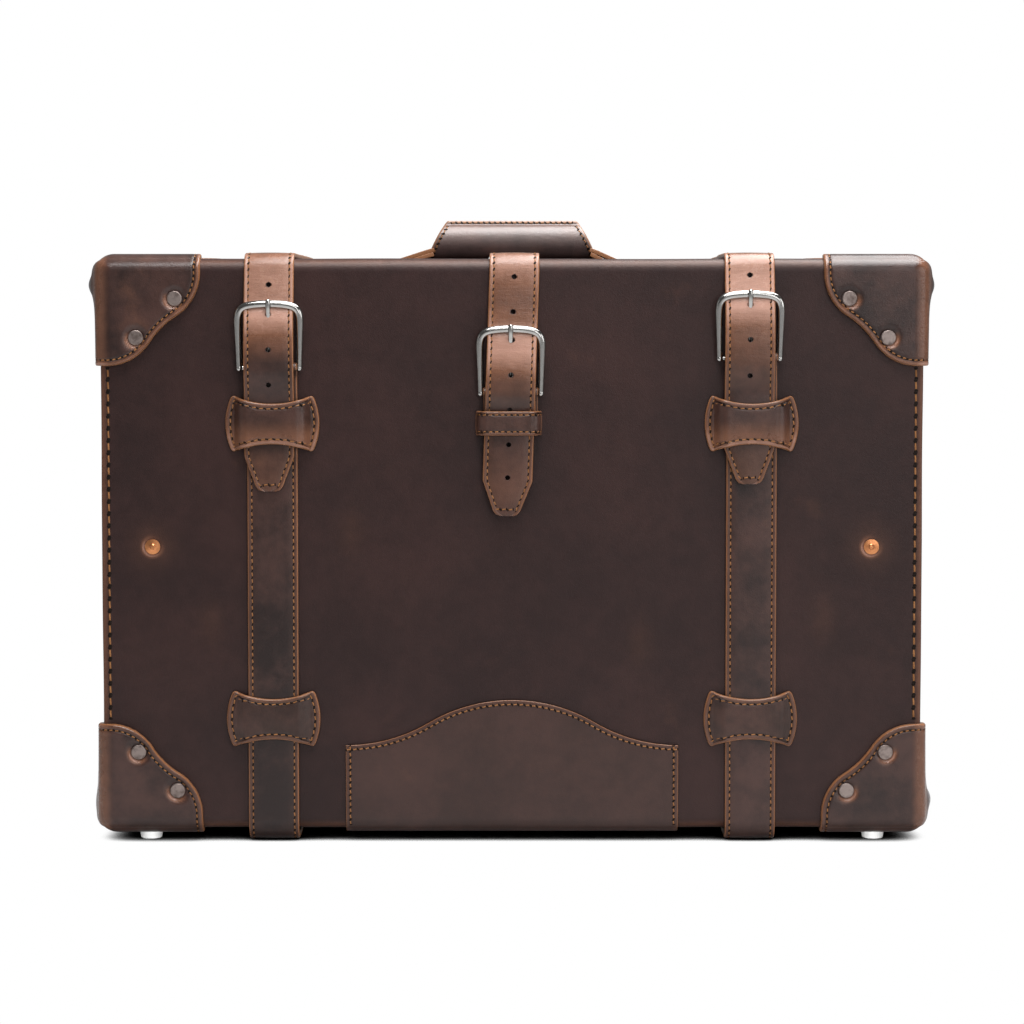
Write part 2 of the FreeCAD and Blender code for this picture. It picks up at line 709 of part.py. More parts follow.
def buckle_prong(buckle):
    """A prong: a ring on the bar, a shank behind the tongue, and a tip over the frame."""
    x = buckle["x"]
    bar_z = BOTTOM + buckle["bar"]

    def place(point):
        return (x, -HALF_DEPTH - point[0], bar_z + point[1])

    knee = place(PRONG_KNEE)
    rest = place(PRONG_REST)
    tip = place(PRONG_TIP)
    bar = place((BAR_OUT, 0))
    ring = rod(PRONG_RING, (x - PRONG_RING_HALF, *bar[1:]), (x + PRONG_RING_HALF, *bar[1:]))
    pieces = [
        rod(PRONG, bar, knee), Part.makeSphere(PRONG, FreeCAD.Vector(*knee)),
        rod(PRONG, knee, rest), Part.makeSphere(PRONG, FreeCAD.Vector(*rest)),
        rod(PRONG, rest, tip), Part.makeSphere(PRONG, FreeCAD.Vector(*tip)),
    ]
    bore = rod(BAR_RADIUS + PRONG_PLAY, (x - FAR, *bar[1:]), (x + FAR, *bar[1:]))
    return ring.fuse(pieces).cut(bore)


def keeper(side, x, up, half, outline, stack):
    """A leather keeper over a strap: flat ends on the leather, the middle raised by the stack."""
    face = side * HALF_DEPTH
    crest = KEEPER_INNER + KEEPER / 2
    foot = KEEPER_INNER + KEEPER_RAMP

    def level(out):
        return face + side * out

    profile = [
        (x + half, level(0)), (x + half, level(KEEPER)), (x + foot, level(KEEPER)),
        (x + crest, level(stack + KEEPER)), (x - crest, level(stack + KEEPER)),
        (x - foot, level(KEEPER)), (x - half, level(KEEPER)), (x - half, level(0)),
        (x - KEEPER_INNER, level(0)), (x - KEEPER_INNER, level(stack)),
        (x + KEEPER_INNER, level(stack)), (x + KEEPER_INNER, level(0)),
    ]
    z = BOTTOM + up
    bent = prism(profile, "plan", z - KEEPER_HALF, z + KEEPER_HALF)
    shape = mapped(outline, lambda p: (x + p[0], z + p[1]))
    return bent.common(prism(shape, "front", -2 * HALF_DEPTH, 2 * HALF_DEPTH))


def bow_tie():
    """The outline of a belt keeper: convex ends and a drawn-in waist."""
    return [
        (-KEEPER_CORNER, -KEEPER_TALL),
        ((0, -KEEPER_WAIST), (KEEPER_CORNER, -KEEPER_TALL)),
        ((KEEPER_HALF, 0), (KEEPER_CORNER, KEEPER_TALL)),
        ((0, KEEPER_WAIST), (-KEEPER_CORNER, KEEPER_TALL)),
        ((-KEEPER_HALF, 0), (-KEEPER_CORNER, -KEEPER_TALL)),
    ]


def straps_and_buckles():
    """Belts, tongues, buckles and keepers."""
    one_strap = STRAP + PLAY
    two_straps = TONGUE_PATH[-1][0] + STRAP + PLAY
    for name, x_side in SIDES.items():
        x = x_side * BELT_X
        save("belt_front_" + name, front_belt(x_side, BUCKLES[name]))
        save("belt_back_" + name, back_belt(x_side))
        for level, up in FRONT_KEEPERS_UP.items():
            stack = two_straps if level == "upper" else one_strap
            save("keeper_" + level + "_" + name, keeper(LID, x, up, KEEPER_HALF, bow_tie(), stack))
        back = [keeper(BASE, x, up, KEEPER_HALF, bow_tie(), one_strap) for up in BACK_KEEPERS_UP]
        save("keepers_back_" + name, group(back))
    save("belt_folds", group([belt_fold(x_side) for x_side in SIDES.values()]))
    save("centre_anchor", centre_anchor())
    chape_end = BOTTOM + BUCKLES["centre"]["bar"] - CHAPE_DOWN
    save("centre_chape", bar_loop(BUCKLES["centre"], BUCKLES["centre"]["x"], chape_end))
    patch = rounded_rectangle(CENTRE_KEEPER_HALF, -CENTRE_KEEPER_TALL, CENTRE_KEEPER_TALL, KEEPER)
    place = (CENTRE_KEEPER_X, CENTRE_KEEPER_UP)
    save("centre_keeper", keeper(LID, *place, CENTRE_KEEPER_HALF, patch, two_straps))
    for name, buckle in BUCKLES.items():
        lean = CENTRE_LEAN if name == "centre" else 0.0
        save("billet_top_" + name, billet_top(STRAP_X[name]))
        save("billet_front_" + name, billet_front(STRAP_X[name], buckle, lean))
        save("buckle_frame_" + name, buckle_frame(buckle))
        save("buckle_prong_" + name, buckle_prong(buckle))


def handle():
    """The folded grip with its seam, and the two strap ends that pass into the case top."""
    middle_z = TOP + GRIP_LIFT + GRIP_HALF_TALL
    seam_z = middle_z + GRIP_HALF_TALL + SEAM_RISE
    low_z = TOP + GRIP_LIFT
    middle = FreeCAD.Vector(-GRIP_LOW_HALF, HANDLE_Y, middle_z)
    top = middle + FreeCAD.Vector(0, 0, GRIP_HALF_TALL)
    side = middle + FreeCAD.Vector(0, GRIP_HALF_WIDE, 0)
    section = Part.Wire([Part.Ellipse(top, side, middle).toShape()])
    grip = Part.Face(section).extrude(FreeCAD.Vector(2 * GRIP_LOW_HALF, 0, 0))
    seam = box(
        (-GRIP_LOW_HALF, GRIP_LOW_HALF),
        (HANDLE_Y - SEAM_HALF, HANDLE_Y + SEAM_HALF),
        (middle_z, seam_z),
    )
    slant = [
        (-GRIP_LOW_HALF, low_z), (GRIP_LOW_HALF, low_z), (GRIP_TOP_HALF, seam_z), (-GRIP_TOP_HALF, seam_z),
    ]
    notch_x = (STRAP_X["centre"] - GRIP_NOTCH_HALF, STRAP_X["centre"] + GRIP_NOTCH_HALF)
    notch = box(notch_x, (-FAR, FAR), (TOP, TOP + GRIP_NOTCH_UP))
    save("handle_grip", grip.fuse(seam).common(prism(slant, "front", -FAR, FAR)).cut(notch))
    tabs = []
    for x_side in SIDES.values():
        grip_x, grip_up = TAB_AT_GRIP
        case_x, case_up = TAB_AT_CASE
        end_x = SLOT_TO - PLAY
        end_z = TOP - LEATHER - BOARD + PLAY
        outline = [
            (grip_x, TOP + grip_up), (grip_x, TOP + grip_up + TAB), (case_x, TOP + case_up + TAB),
            (end_x, TOP - LEATHER), (end_x, end_z), (end_x - TAB, end_z), (case_x - PLAY, TOP + case_up),
        ]
        shape = mapped(outline, lambda p: (x_side * p[0], p[1]))
        clear = GRIP_LOW_HALF + PLAY
        tab = prism(shape, "front", HANDLE_Y - TAB_HALF, HANDLE_Y + TAB_HALF)
        tabs.append(tab.common(box((x_side * clear, x_side * FAR), (-FAR, FAR), (0, 2 * FAR))))
    save("handle_tabs", group(tabs))


def screw_places(side):
    """Where the screws of one half's hinge leaves go in, seen from below."""
    return [
        (hinge_x + s * SCREW_X, side * SCREW_OUT)
        for hinge_x in HINGE_X
        for s in SIDES.values()
    ]


def hinge_leaf(side, hinge_x):
    """One leaf of a stop hinge: its plate, its knuckles and the lugs that stop the lid."""
    pitch = HINGE_LONG / KNUCKLES
    start = hinge_x - HINGE_LONG / 2
    plate_low = BOTTOM - LEAF
    leaf = box(
        (start, start + HINGE_LONG), (side * LEAF_CLEAR, side * LEAF_REACH), (plate_low, BOTTOM),
    )
    bore = PIN_RADIUS if side == BASE else PIN_RADIUS + PIN_PLAY
    turn = math.radians(STOP_ANGLE)
    face = [(side * r * math.sin(turn), AXIS_Z - r * math.cos(turn)) for r in STOP_RADII]
    lug = [
        (side * LEAF_CLEAR, plate_low), face[0], face[1],
        (side * STOP_BACK, face[1][1]), (side * STOP_BACK, plate_low),
    ]
    for number in range(KNUCKLES):
        low = start + number * pitch + KNUCKLE_GAP / 2
        high = start + (number + 1) * pitch - KNUCKLE_GAP / 2
        owner = BASE if number % 2 == 0 else LID
        if owner == side:
            knuckle = rod(KNUCKLE_RADIUS, (low, 0, AXIS_Z), (high, 0, AXIS_Z))
            arm = box((low, high), (0, side * 2 * LEAF_CLEAR), (plate_low, BOTTOM))
            leaf = leaf.fuse([knuckle, arm])
        if owner == LID:
            leaf = leaf.fuse(prism(lug, "side", low, high))
    leaf = leaf.cut(rod(bore, (start - 1, 0, AXIS_Z), (start + HINGE_LONG + 1, 0, AXIS_Z)))
    for x, y in screw_places(side):
        leaf = leaf.cut(rod(SCREW_SHANK, (x, y, BOTTOM + 1), (x, y, plate_low - 1)))
    return leaf


def hinges():
    """Three stop hinges: a leaf on each half, the pins and the screws."""
    for side, name in ((BASE, "base"), (LID, "lid")):
        save("hinge_leaves_" + name, group([hinge_leaf(side, x) for x in HINGE_X]))
        inside = BOTTOM + LEATHER + BOARD
        seat = BOTTOM - LEAF
        outline = [
            (0, seat - SCREW_RISE), (SCREW_HEAD - SCREW_RISE, seat - SCREW_RISE), (SCREW_HEAD, seat),
            (SCREW_SHANK, seat), (SCREW_SHANK, inside), (0, inside),
        ]
        screws = [turned(outline, (x, y, 0), (0, 0, 1)) for x, y in screw_places(side)]
        save("hinge_screws_" + name, group(screws))
    pins = [
        rod(PIN_RADIUS, (x - HINGE_LONG / 2, 0, AXIS_Z), (x + HINGE_LONG / 2, 0, AXIS_Z))
        for x in HINGE_X
    ]
    save("hinge_pins", group(pins))


def main():
    """Write every piece of the suitcase."""
    os.makedirs("parts", exist_ok=True)
    for side, name in ((BASE, "base"), (LID, "lid")):
        half_case(side, name)
        for x_name, x_side in SIDES.items():
            save(name + "_cap_top_" + x_name, corner_cap(side, x_side, 1))
            save(name + "_cap_bottom_" + x_name, corner_cap(side, x_side, -1))
        save(name + "_cap_rivets", cap_rivets(side))
        save(name + "_copper_rivets", copper_rivets(side))
        save(name + "_feet", feet(side))
        save(name + "_packing_strap", packing_strap(side))
    save("base_lip", lip())
    save("front_apron", apron())
    straps_and_buckles()
    handle()
    hinges()


main()
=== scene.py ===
"""Looks of a hard-sided leather suitcase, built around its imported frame.

Lengths are in millimetres, measured from the split between the two halves, until a mesh is made.
"""
import logging
import math
from dataclasses import dataclass, field, replace
from enum import Enum
from itertools import product
from typing import Callable, Optional, Sequence, Union

import bmesh
import bpy
import numpy as np
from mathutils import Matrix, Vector


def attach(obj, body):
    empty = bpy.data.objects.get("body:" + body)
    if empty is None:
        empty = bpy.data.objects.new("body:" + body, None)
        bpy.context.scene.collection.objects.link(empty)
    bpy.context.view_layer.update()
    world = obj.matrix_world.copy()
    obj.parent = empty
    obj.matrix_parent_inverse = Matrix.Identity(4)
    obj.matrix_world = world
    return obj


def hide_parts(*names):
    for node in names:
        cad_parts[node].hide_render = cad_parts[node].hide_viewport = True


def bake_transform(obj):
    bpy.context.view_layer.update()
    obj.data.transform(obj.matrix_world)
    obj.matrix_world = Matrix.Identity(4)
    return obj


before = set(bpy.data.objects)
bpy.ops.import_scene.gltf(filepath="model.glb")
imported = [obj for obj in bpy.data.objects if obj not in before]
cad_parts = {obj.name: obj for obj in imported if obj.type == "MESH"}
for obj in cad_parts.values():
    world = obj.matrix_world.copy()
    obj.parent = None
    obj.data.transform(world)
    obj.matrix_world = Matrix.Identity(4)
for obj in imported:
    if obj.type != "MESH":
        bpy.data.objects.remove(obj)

Array = np.ndarray
Laid = tuple[Array, Array]  # points, and the outward direction at each
Place = Callable[[Array, Array], Laid]
Colour = tuple[float, float, float]

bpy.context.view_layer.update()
MM = 0.001
SPLIT_Y = 2.95
X_AXIS = np.array([1.0, 0.0, 0.0])
RING_OUT = 7.0
RING_WIDE = 1.5
log = logging.getLogger("suitcase")


class Half(Enum):
    """The two halves of the case, valued by the side of the split that they lie on."""

    LID = -1
    BASE = 1

    @property
    def body(self) -> str:
        """The body of the frame that this half is."""
        return self.name.lower()


class Slot(Enum):
    """The record's material slots."""

    CASE = "case_leather"
    STRAP = "strap_leather"
    BOARD = "board"
    LINING = "lining_cloth"
    WEBBING = "webbing"
    THREAD = "thread"
    NICKEL = "nickel"
    AGED = "aged_nickel"
    COPPER = "copper"
    FOOT = "foot_metal"
    HINGE = "hinge_steel"


SIDES = {"left": -1, "right": 1}
ENDS = {"bottom": -1, "top": 1}


class Wire:
    """A shader socket for Python expressions: each operation on it adds one Math node."""

    def __init__(self, bench: "ShaderBench", socket: bpy.types.NodeSocket) -> None:
        """Keep the bench that the socket belongs to."""
        self.bench = bench
        self.socket = socket

    def _math(self, operation: str, first: "Term", second: "Term", clamp: bool = False) -> "Wire":
        """Add one Math node on two terms."""
        settings = {"operation": operation, "use_clamp": clamp}
        return self.bench.node("ShaderNodeMath", settings, {0: first, 1: second})

    def __add__(self, other: "Term") -> "Wire":
        """Sum."""
        return self._math("ADD", self, other)

    __radd__ = __add__

    def __sub__(self, other: "Term") -> "Wire":
        """Difference."""
        return self._math("SUBTRACT", self, other)

    def __rsub__(self, other: "Term") -> "Wire":
        """Difference from a plain number."""
        return self._math("SUBTRACT", other, self)

    def __mul__(self, other: "Term") -> "Wire":
        """Product."""
        return self._math("MULTIPLY", self, other)

    __rmul__ = __mul__

    def clamped(self) -> "Wire":
        """The value held between 0 and 1."""
        return self._math("ADD", self, 0.0, clamp=True)

    def sine(self) -> "Wire":
        """The sine of the value."""
        return self._math("SINE", self, 0.0)

    def other(self, output: Union[int, str]) -> "Wire":
        """Another output of the node that this one comes from."""
        return Wire(self.bench, self.socket.node.outputs[output])

    def rise(self, low: float, high: float) -> "Wire":
        """A smooth step from 0 at low to 1 at high."""
        settings = {"interpolation_type": "SMOOTHSTEP"}
        return self.bench.node("ShaderNodeMapRange", settings, {"Value": self, 1: low, 2: high})


Term = Union[Wire, float]


class ShaderBench:
    """A material or world under construction and the nodes that go into it."""

    def __init__(self, name: str, world: bool = False) -> None:
        """Start an empty material, or an empty world."""
        self.output = "ShaderNodeOutputWorld" if world else "ShaderNodeOutputMaterial"
        self.material = (bpy.data.worlds if world else bpy.data.materials).new(name)
        self.material.use_nodes = True
        self.tree = self.material.node_tree
        self.tree.nodes.clear()

    def node(self, kind: str, settings: Optional[dict] = None, sockets: Optional[dict] = None,
             output: Union[int, str, None] = 0) -> Optional[Wire]:
        """Add one node.

        Args:
            kind: the node's type name.
            settings: attributes of the node, set first.
            sockets: values or wires for its inputs, by name or number.
            output: which output to hand back, if the node has any.

        Returns:
            The chosen output.
        """
        made = self.tree.nodes.new(kind)
        for name, value in (settings or {}).items():
            setattr(made, name, value)
        for key, value in (sockets or {}).items():
            if isinstance(value, Wire):
                self.tree.links.new(value.socket, made.inputs[key])
            else:
                made.inputs[key].default_value = value
        return None if output is None else Wire(self, made.outputs[output])

    def place(self, stretch: Optional[tuple] = None) -> Wire:
        """Object coordinates, stretched along the axes if asked."""
        coords = self.node("ShaderNodeTexCoord", output="Object")
        if stretch is None:
            return coords
        return self.node("ShaderNodeMapping", None, {"Vector": coords, "Scale": stretch})

    def noise(self, coords: Wire, scale: float, detail: float = 3.0, rough: float = 0.5) -> Wire:
        """Fractal noise between 0 and 1, with features about 1/scale metres across."""
        return self.node("ShaderNodeTexNoise", None,
                         {"Vector": coords, "Scale": scale, "Detail": detail, "Roughness": rough})

    def cells(self, coords: Wire, scale: float) -> Wire:
        """Distance to the nearest point of a random field, for pores and pebbles."""
        return self.node("ShaderNodeTexVoronoi", None, {"Vector": coords, "Scale": scale})

    def mix(self, factor: Term, first: Union[Wire, tuple], second: Union[Wire, tuple]) -> Wire:
        """Mix two colours."""
        ends = [c if isinstance(c, Wire) else (*c, 1.0) for c in (first, second)]
        return self.node("ShaderNodeMix", {"data_type": "RGBA"}, {0: factor, 6: ends[0], 7: ends[1]}, 2)

    def attribute(self, name: str) -> Wire:
        """A value that the mesh carries at each point."""
        return self.node("ShaderNodeAttribute", {"attribute_name": name}, output="Fac")

    def bump(self, height: Wire, strength: float, distance: float) -> Wire:
        """A bumped normal from a height."""
        return self.node("ShaderNodeBump", None,
                         {"Strength": strength, "Distance": distance, "Height": height})

    def blend(self, factor: Term, first: Wire, second: Wire) -> Wire:
        """Mix two shaders."""
        return self.node("ShaderNodeMixShader", None, {0: factor, 1: first, 2: second})

    def close(self, shader: Wire) -> Union[bpy.types.Material, bpy.types.World]:
        """Close the material or world with a shader."""
        self.node(self.output, {"is_active_output": True}, {"Surface": shader}, None)
        return self.material

    def finish(self, sockets: dict) -> bpy.types.Material:
        """Close the material with one Principled shader."""
        return self.close(self.node("ShaderNodeBsdfPrincipled", None, sockets))


@dataclass(frozen=True)
class LeatherFinish:
    """Oiled leather: clouded tone, pale scuffs, fine pores, raw cut edges, and a pale tone for leather paled
    by stretching, which also paints highlights.
    """

    name: str
    dark: Colour
    light: Colour
    rubbed: Colour
    raw: Colour
    # pale: where the wear attribute passes 1; leather paled by stretching, and also painted highlights on
    # lips, round rivets and on bent tongues
    pale: Colour = (0.42, 0.23, 0.17)
    roughness: float = 0.46
    cloud: float = 9.0
    scuffs: float = 0.5
    grain: float = 1500.0
    relief: float = 0.3
    gloss: float = 0.3

    def material(self) -> bpy.types.Material:
        """Build the material.

        Returns:
            A material whose tone is two sizes of noise added, with scuffs where a third noise is high. The
            wear attribute mixes in the rubbed colour, and past 1 the pale colour, which is partly leather
            paled by stretching and partly painted highlight.
        """
        bench = ShaderBench(self.name)
        coords = bench.place()
        clouds = bench.noise(coords, self.cloud, 4.0, 0.6)
        mottles = bench.noise(coords, 90.0, 6.0, 0.68)
        tone = (clouds * 0.7 + mottles * 0.3).rise(0.36, 0.66)
        colour = bench.mix(tone, self.dark, self.light)
        worn = bench.noise(coords, 15.0, 9.0, 0.66).rise(0.6, 0.8) * self.scuffs
        wear = bench.attribute("rub")
        rub = wear.clamped()
        # past 1 the wear attribute turns pale: partly leather paled by stretching, partly painted highlight
        stretch_and_highlight = (wear - 1.0 + (mottles - 0.5) * 0.5 * rub).clamped()
        colour = bench.mix((worn + rub * (mottles * 0.9 + 0.4)).clamped(), colour, self.rubbed)
        colour = bench.mix(stretch_and_highlight, colour, self.pale)
        colour = bench.mix(bench.attribute("raw").clamped(), colour, self.raw)
        pores = bench.cells(coords, self.grain)
        fine = bench.noise(coords, 420.0, 4.0, 0.6)
        creases = bench.noise(bench.place((0.3, 1.0, 1.7)), 300.0, 3.0, 0.55)
        height = pores * 0.5 + fine * 0.9 + rub * creases * 1.6
        return bench.finish({
            "Base Color": colour,
            "Roughness": self.roughness + mottles * 0.14 - tone * 0.04 - rub * 0.06,
            "Normal": bench.bump(height, self.relief, 0.0005),
            "Specular IOR Level": self.gloss,
        })


@dataclass(frozen=True)
class MetalFinish:
    """Plated or plain metal with fine handling marks and dull patches."""

    name: str
    colour: Colour
    dull: Colour
    roughness: float
    tarnish: float = 0.3
    metallic: float = 1.0

    def material(self) -> bpy.types.Material:
        """Build the material: noise dulls the colour and the polish in patches."""
        bench = ShaderBench(self.name)
        coords = bench.place()
        patches = bench.noise(coords, 160.0, 5.0, 0.62)
        marks = bench.noise(bench.place((1.0, 1.0, 0.15)), 2200.0, 2.0)
        spread_out = patches.rise(0.4, 0.72) * self.tarnish
        return bench.finish({
            "Base Color": bench.mix(spread_out, self.colour, self.dull),
            "Metallic": self.metallic,
            "Roughness": self.roughness + patches * 0.14 + marks * 0.08 - 0.08,
            "Normal": bench.bump(patches * 0.6 + marks * 0.4, 0.06, 0.0004),
        })


@dataclass(frozen=True)
class ClothFinish:
    """Woven cloth: two crossing sets of threads, by the piece's own pattern."""

    name: str
    warp: Colour
    weft: Colour
    threads: float = 900.0
    roughness: float = 0.85

    def material(self) -> bpy.types.Material:
        """Build the material: the product of two sines gives the over and under of the threads."""
        bench = ShaderBench(self.name)
        pattern = bench.node("ShaderNodeTexCoord", output="UV")
        split = bench.node("ShaderNodeSeparateXYZ", None, {0: pattern})
        across = split.other(1)
        turn = 2.0 * math.pi * self.threads
        weave = (split * turn).sine() * (across * turn).sine()
        slubs = bench.noise(bench.place(), 240.0, 4.0, 0.6)
        tone = (weave * 0.35 + slubs).rise(0.25, 0.8)
        return bench.finish({
            "Base Color": bench.mix(tone, self.warp, self.weft),
            "Roughness": self.roughness,
            "Normal": bench.bump(weave * 0.5 + slubs, 0.35, 0.0005),
            "Specular IOR Level": 0.2,
        })


@dataclass(frozen=True)
class GrainFinish:
    """Thread or pressed board: one tone broken by drawn-out fibres."""

    name: str
    dark: Colour
    light: Colour
    fibre: float = 500.0
    roughness: float = 0.7
    # hollow: near black painted on stitch ends as the shade inside the needle holes
    hollow: Colour = (0.008, 0.0045, 0.003)

    def material(self) -> bpy.types.Material:
        """Build the material: fibre noise mixes the two tones and roughens the surface."""
        bench = ShaderBench(self.name)
        fibres = bench.noise(bench.place((1.0, 1.0, 2.2)), self.fibre, 4.0, 0.62)
        patches = bench.noise(bench.place(), 60.0, 3.0)
        tone = (fibres * 0.6 + patches * 0.4).rise(0.34, 0.66)
        colour = bench.mix(tone, self.dark, self.light)
        return bench.finish({
            # painted shade of the needle holes, where the raw attribute is set
            "Base Color": bench.mix(bench.attribute("raw"), colour, self.hollow),
            "Roughness": self.roughness,
            "Normal": bench.bump(fibres, 0.3, 0.0004),
            "Specular IOR Level": 0.12,
        })


FINISHES = {
    Slot.CASE: LeatherFinish(
        "dark_case_leather", dark=(0.0215, 0.0104, 0.0098), light=(0.036, 0.0166, 0.0149),
        rubbed=(0.15, 0.065, 0.038), raw=(0.12, 0.05, 0.025), roughness=0.34, scuffs=0.2, gloss=0.23),
    Slot.STRAP: LeatherFinish(
        "brown_strap_leather", dark=(0.0155, 0.0076, 0.0067), light=(0.06, 0.0285, 0.023),
        rubbed=(0.19, 0.082, 0.046), raw=(0.25, 0.105, 0.045), roughness=0.27, scuffs=0.35, cloud=16.0,
        gloss=0.38),
    Slot.BOARD: GrainFinish("pressed_board", (0.1, 0.065, 0.04), (0.19, 0.13, 0.085), 700.0, 0.8),
    Slot.LINING: ClothFinish("lining_drill", (0.24, 0.18, 0.115), (0.38, 0.3, 0.2), 700.0),
    Slot.WEBBING: ClothFinish("strap_webbing", (0.09, 0.055, 0.035), (0.19, 0.125, 0.08), 420.0),
    Slot.THREAD: GrainFinish("waxed_thread", (0.2, 0.085, 0.03), (0.34, 0.155, 0.06), 1400.0, 0.6),
    Slot.NICKEL: MetalFinish("polished_nickel", (0.44, 0.43, 0.415), (0.3, 0.285, 0.265), 0.14),
    Slot.AGED: MetalFinish("antique_nickel", (0.3, 0.245, 0.225), (0.13, 0.098, 0.088), 0.45, 0.95),
    Slot.COPPER: MetalFinish("plain_copper", (0.75, 0.31, 0.13), (0.38, 0.14, 0.06), 0.32, 0.5),
    Slot.FOOT: MetalFinish("bright_foot_plate", (0.92, 0.92, 0.91), (0.82, 0.81, 0.79), 0.4, metallic=0.4),
    Slot.HINGE: MetalFinish("plated_hinge_steel", (0.5, 0.48, 0.45), (0.32, 0.29, 0.26), 0.34),
}
APRON_FINISH = replace(FINISHES[Slot.STRAP], name="plain_apron_leather", dark=(0.027, 0.0138, 0.0122),
                       light=(0.046, 0.0225, 0.0192), scuffs=0.15, gloss=0.34)
GRIP_FINISH = replace(FINISHES[Slot.STRAP], name="polished_grip_leather", dark=(0.026, 0.0135, 0.0125),
                      light=(0.08, 0.041, 0.036), roughness=0.38, gloss=1.0, scuffs=0.15)


@dataclass
class Patch:
    """A grid of points with what each point faces, where it lies on the flat pattern, and its wear, which
    also carries painted highlights.
    """

    points: Array
    facing: Array
    pattern: Array
    raw: Union[Array, float] = 0.0
    rub: Union[Array, float] = 0.0
    closed: bool = False

    def __post_init__(self) -> None:
        """Spread what is given as one number, or for one row, over all points."""
        self.facing = np.broadcast_to(self.facing, self.points.shape)
        self.raw, self.rub = (np.broadcast_to(v, self.points.shape[:-1]) for v in (self.raw, self.rub))

    def quads(self) -> Array:
        """Quads between neighbouring points, turned so that they face outwards."""
        rows, cols = self.points.shape[:2]
        numbers = np.arange(rows * cols).reshape(rows, cols)
        if self.closed:
            numbers = np.concatenate([numbers, numbers[:, :1]], axis=1)
        quads = np.stack([numbers[:-1, :-1], numbers[:-1, 1:], numbers[1:, 1:], numbers[1:, :-1]], axis=-1)
        quads = quads.reshape(-1, 4)
        flat = self.points.reshape(-1, 3)
        normal = np.cross(flat[quads[:, 2]] - flat[quads[:, 0]], flat[quads[:, 3]] - flat[quads[:, 1]])
        agree = np.einsum("ij,ij->", normal, self.facing.reshape(-1, 3)[quads[:, 0]])
        return quads if agree > 0 else quads[:, ::-1]


class Workshop:
    """Makes Blender objects from worked-out surfaces and dresses them."""

    SHARP = math.radians(42.0)
    WELD = 2e-6

    def __init__(self) -> None:
        """Build every finish once."""
        self.materials = {slot: finish.material() for slot, finish in FINISHES.items()}

    def make(self, name: str, patches: Sequence[Patch], slot: Slot, weld: bool = True,
             finish: Optional[LeatherFinish] = None) -> bpy.types.Object:
        """Join patches into one dressed object at the origin.

        Args:
            name: the piece's name.
            patches: its surfaces, in millimetres from the split.
            slot: the material slot that it takes its finish from.
            weld: whether points that coincide become one.
            finish: a finish of its own, if it differs from the slot's.

        Returns:
            The object, not yet riding on anything.
        """
        starts = np.cumsum([0] + [p.raw.size for p in patches[:-1]])
        points = np.concatenate([p.points.reshape(-1, 3) for p in patches])
        points = (points + np.array([0.0, SPLIT_Y, 0.0])) * MM
        quads = np.concatenate([p.quads() + start for p, start in zip(patches, starts)])
        pattern = np.concatenate([p.pattern.reshape(-1, 2) for p in patches]) * MM
        mesh = bpy.data.meshes.new(name)
        mesh.vertices.add(len(points))
        mesh.vertices.foreach_set("co", points.astype(np.float32).ravel())
        mesh.loops.add(quads.size)
        mesh.loops.foreach_set("vertex_index", quads.astype(np.int32).ravel())
        mesh.polygons.add(len(quads))
        mesh.polygons.foreach_set("loop_start", np.arange(0, quads.size, 4, dtype=np.int32))
        mesh.update(calc_edges=True)
        layer = mesh.uv_layers.new(name="pattern")
        layer.data.foreach_set("uv", pattern[quads.ravel()].astype(np.float32).ravel())
        for key in ("raw", "rub"):
            values = np.concatenate([getattr(p, key).ravel() for p in patches])
            mesh.attributes.new(key, "FLOAT", "POINT").data.foreach_set("value", values.astype(np.float32))
        if weld:
            self.weld(mesh)
        self.smooth(mesh)
        made = bpy.data.objects.new(name, mesh)
        bpy.context.collection.objects.link(made)
        mesh.materials.append(finish.material() if finish else self.materials[slot])
        log.info("%s: %d faces", name, len(mesh.polygons))
        return made

    def weld(self, mesh: bpy.types.Mesh) -> None:
        """Merge points that coincide, which closes poles and joins patches."""
        work = bmesh.new()
        work.from_mesh(mesh)
        bmesh.ops.remove_doubles(work, verts=work.verts, dist=self.WELD)
        bmesh.ops.dissolve_degenerate(work, edges=work.edges, dist=self.WELD)
        work.to_mesh(mesh)
        work.free()

    def smooth(self, mesh: bpy.types.Mesh) -> None:
        """Shade smooth, with sharp edges only where faces meet at a steep angle."""
        mesh.polygons.foreach_set("use_smooth", np.ones(len(mesh.polygons), dtype=bool))
        mesh.set_sharp_from_angle(angle=self.SHARP)
        mesh.update()

    def punch(self, made: bpy.types.Object, places: Array, radius: float, deep: float) -> None:
        """Punch round holes through a strap, front to back.

        Args:
            made: the strap.
            places: centres of the holes, in millimetres from the split.
            radius: of each hole.
            deep: half length of the punch.
        """
        turn = np.linspace(0.0, 2.0 * math.pi, 17)[:-1]
        ring = radius * points_of(np.cos(turn), 0.0, np.sin(turn))
        ends = ((-deep, 0.0), (-deep, 1.0), (deep, 1.0), (deep, 0.0))
        punch = np.stack([ring * size + points_of(0.0, reach, 0.0) for reach, size in ends])
        patches = [Patch(punch + at, ring, np.zeros((4, 16, 2)), raw=0.15, closed=True) for at in places]
        tool = self.make("punch", patches, Slot.STRAP)
        cut = made.modifiers.new("punch", "BOOLEAN")
        cut.operation = "DIFFERENCE"
        cut.object = tool
        cut.solver = "EXACT"
        bpy.context.view_layer.update()
        ready = made.evaluated_get(bpy.context.evaluated_depsgraph_get())
        holed = bpy.data.meshes.new_from_object(ready)
        made.modifiers.clear()
        made.data = holed
        self.smooth(holed)
        bpy.data.objects.remove(tool)

    def dress(self, node: str, slot: Slot) -> None:
        """Give a node of the frame its procedural finish."""
        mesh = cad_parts[node].data
        mesh.materials.clear()
        mesh.materials.append(self.materials[slot])
        log.info("%s: dressed as %s", node, slot.value)


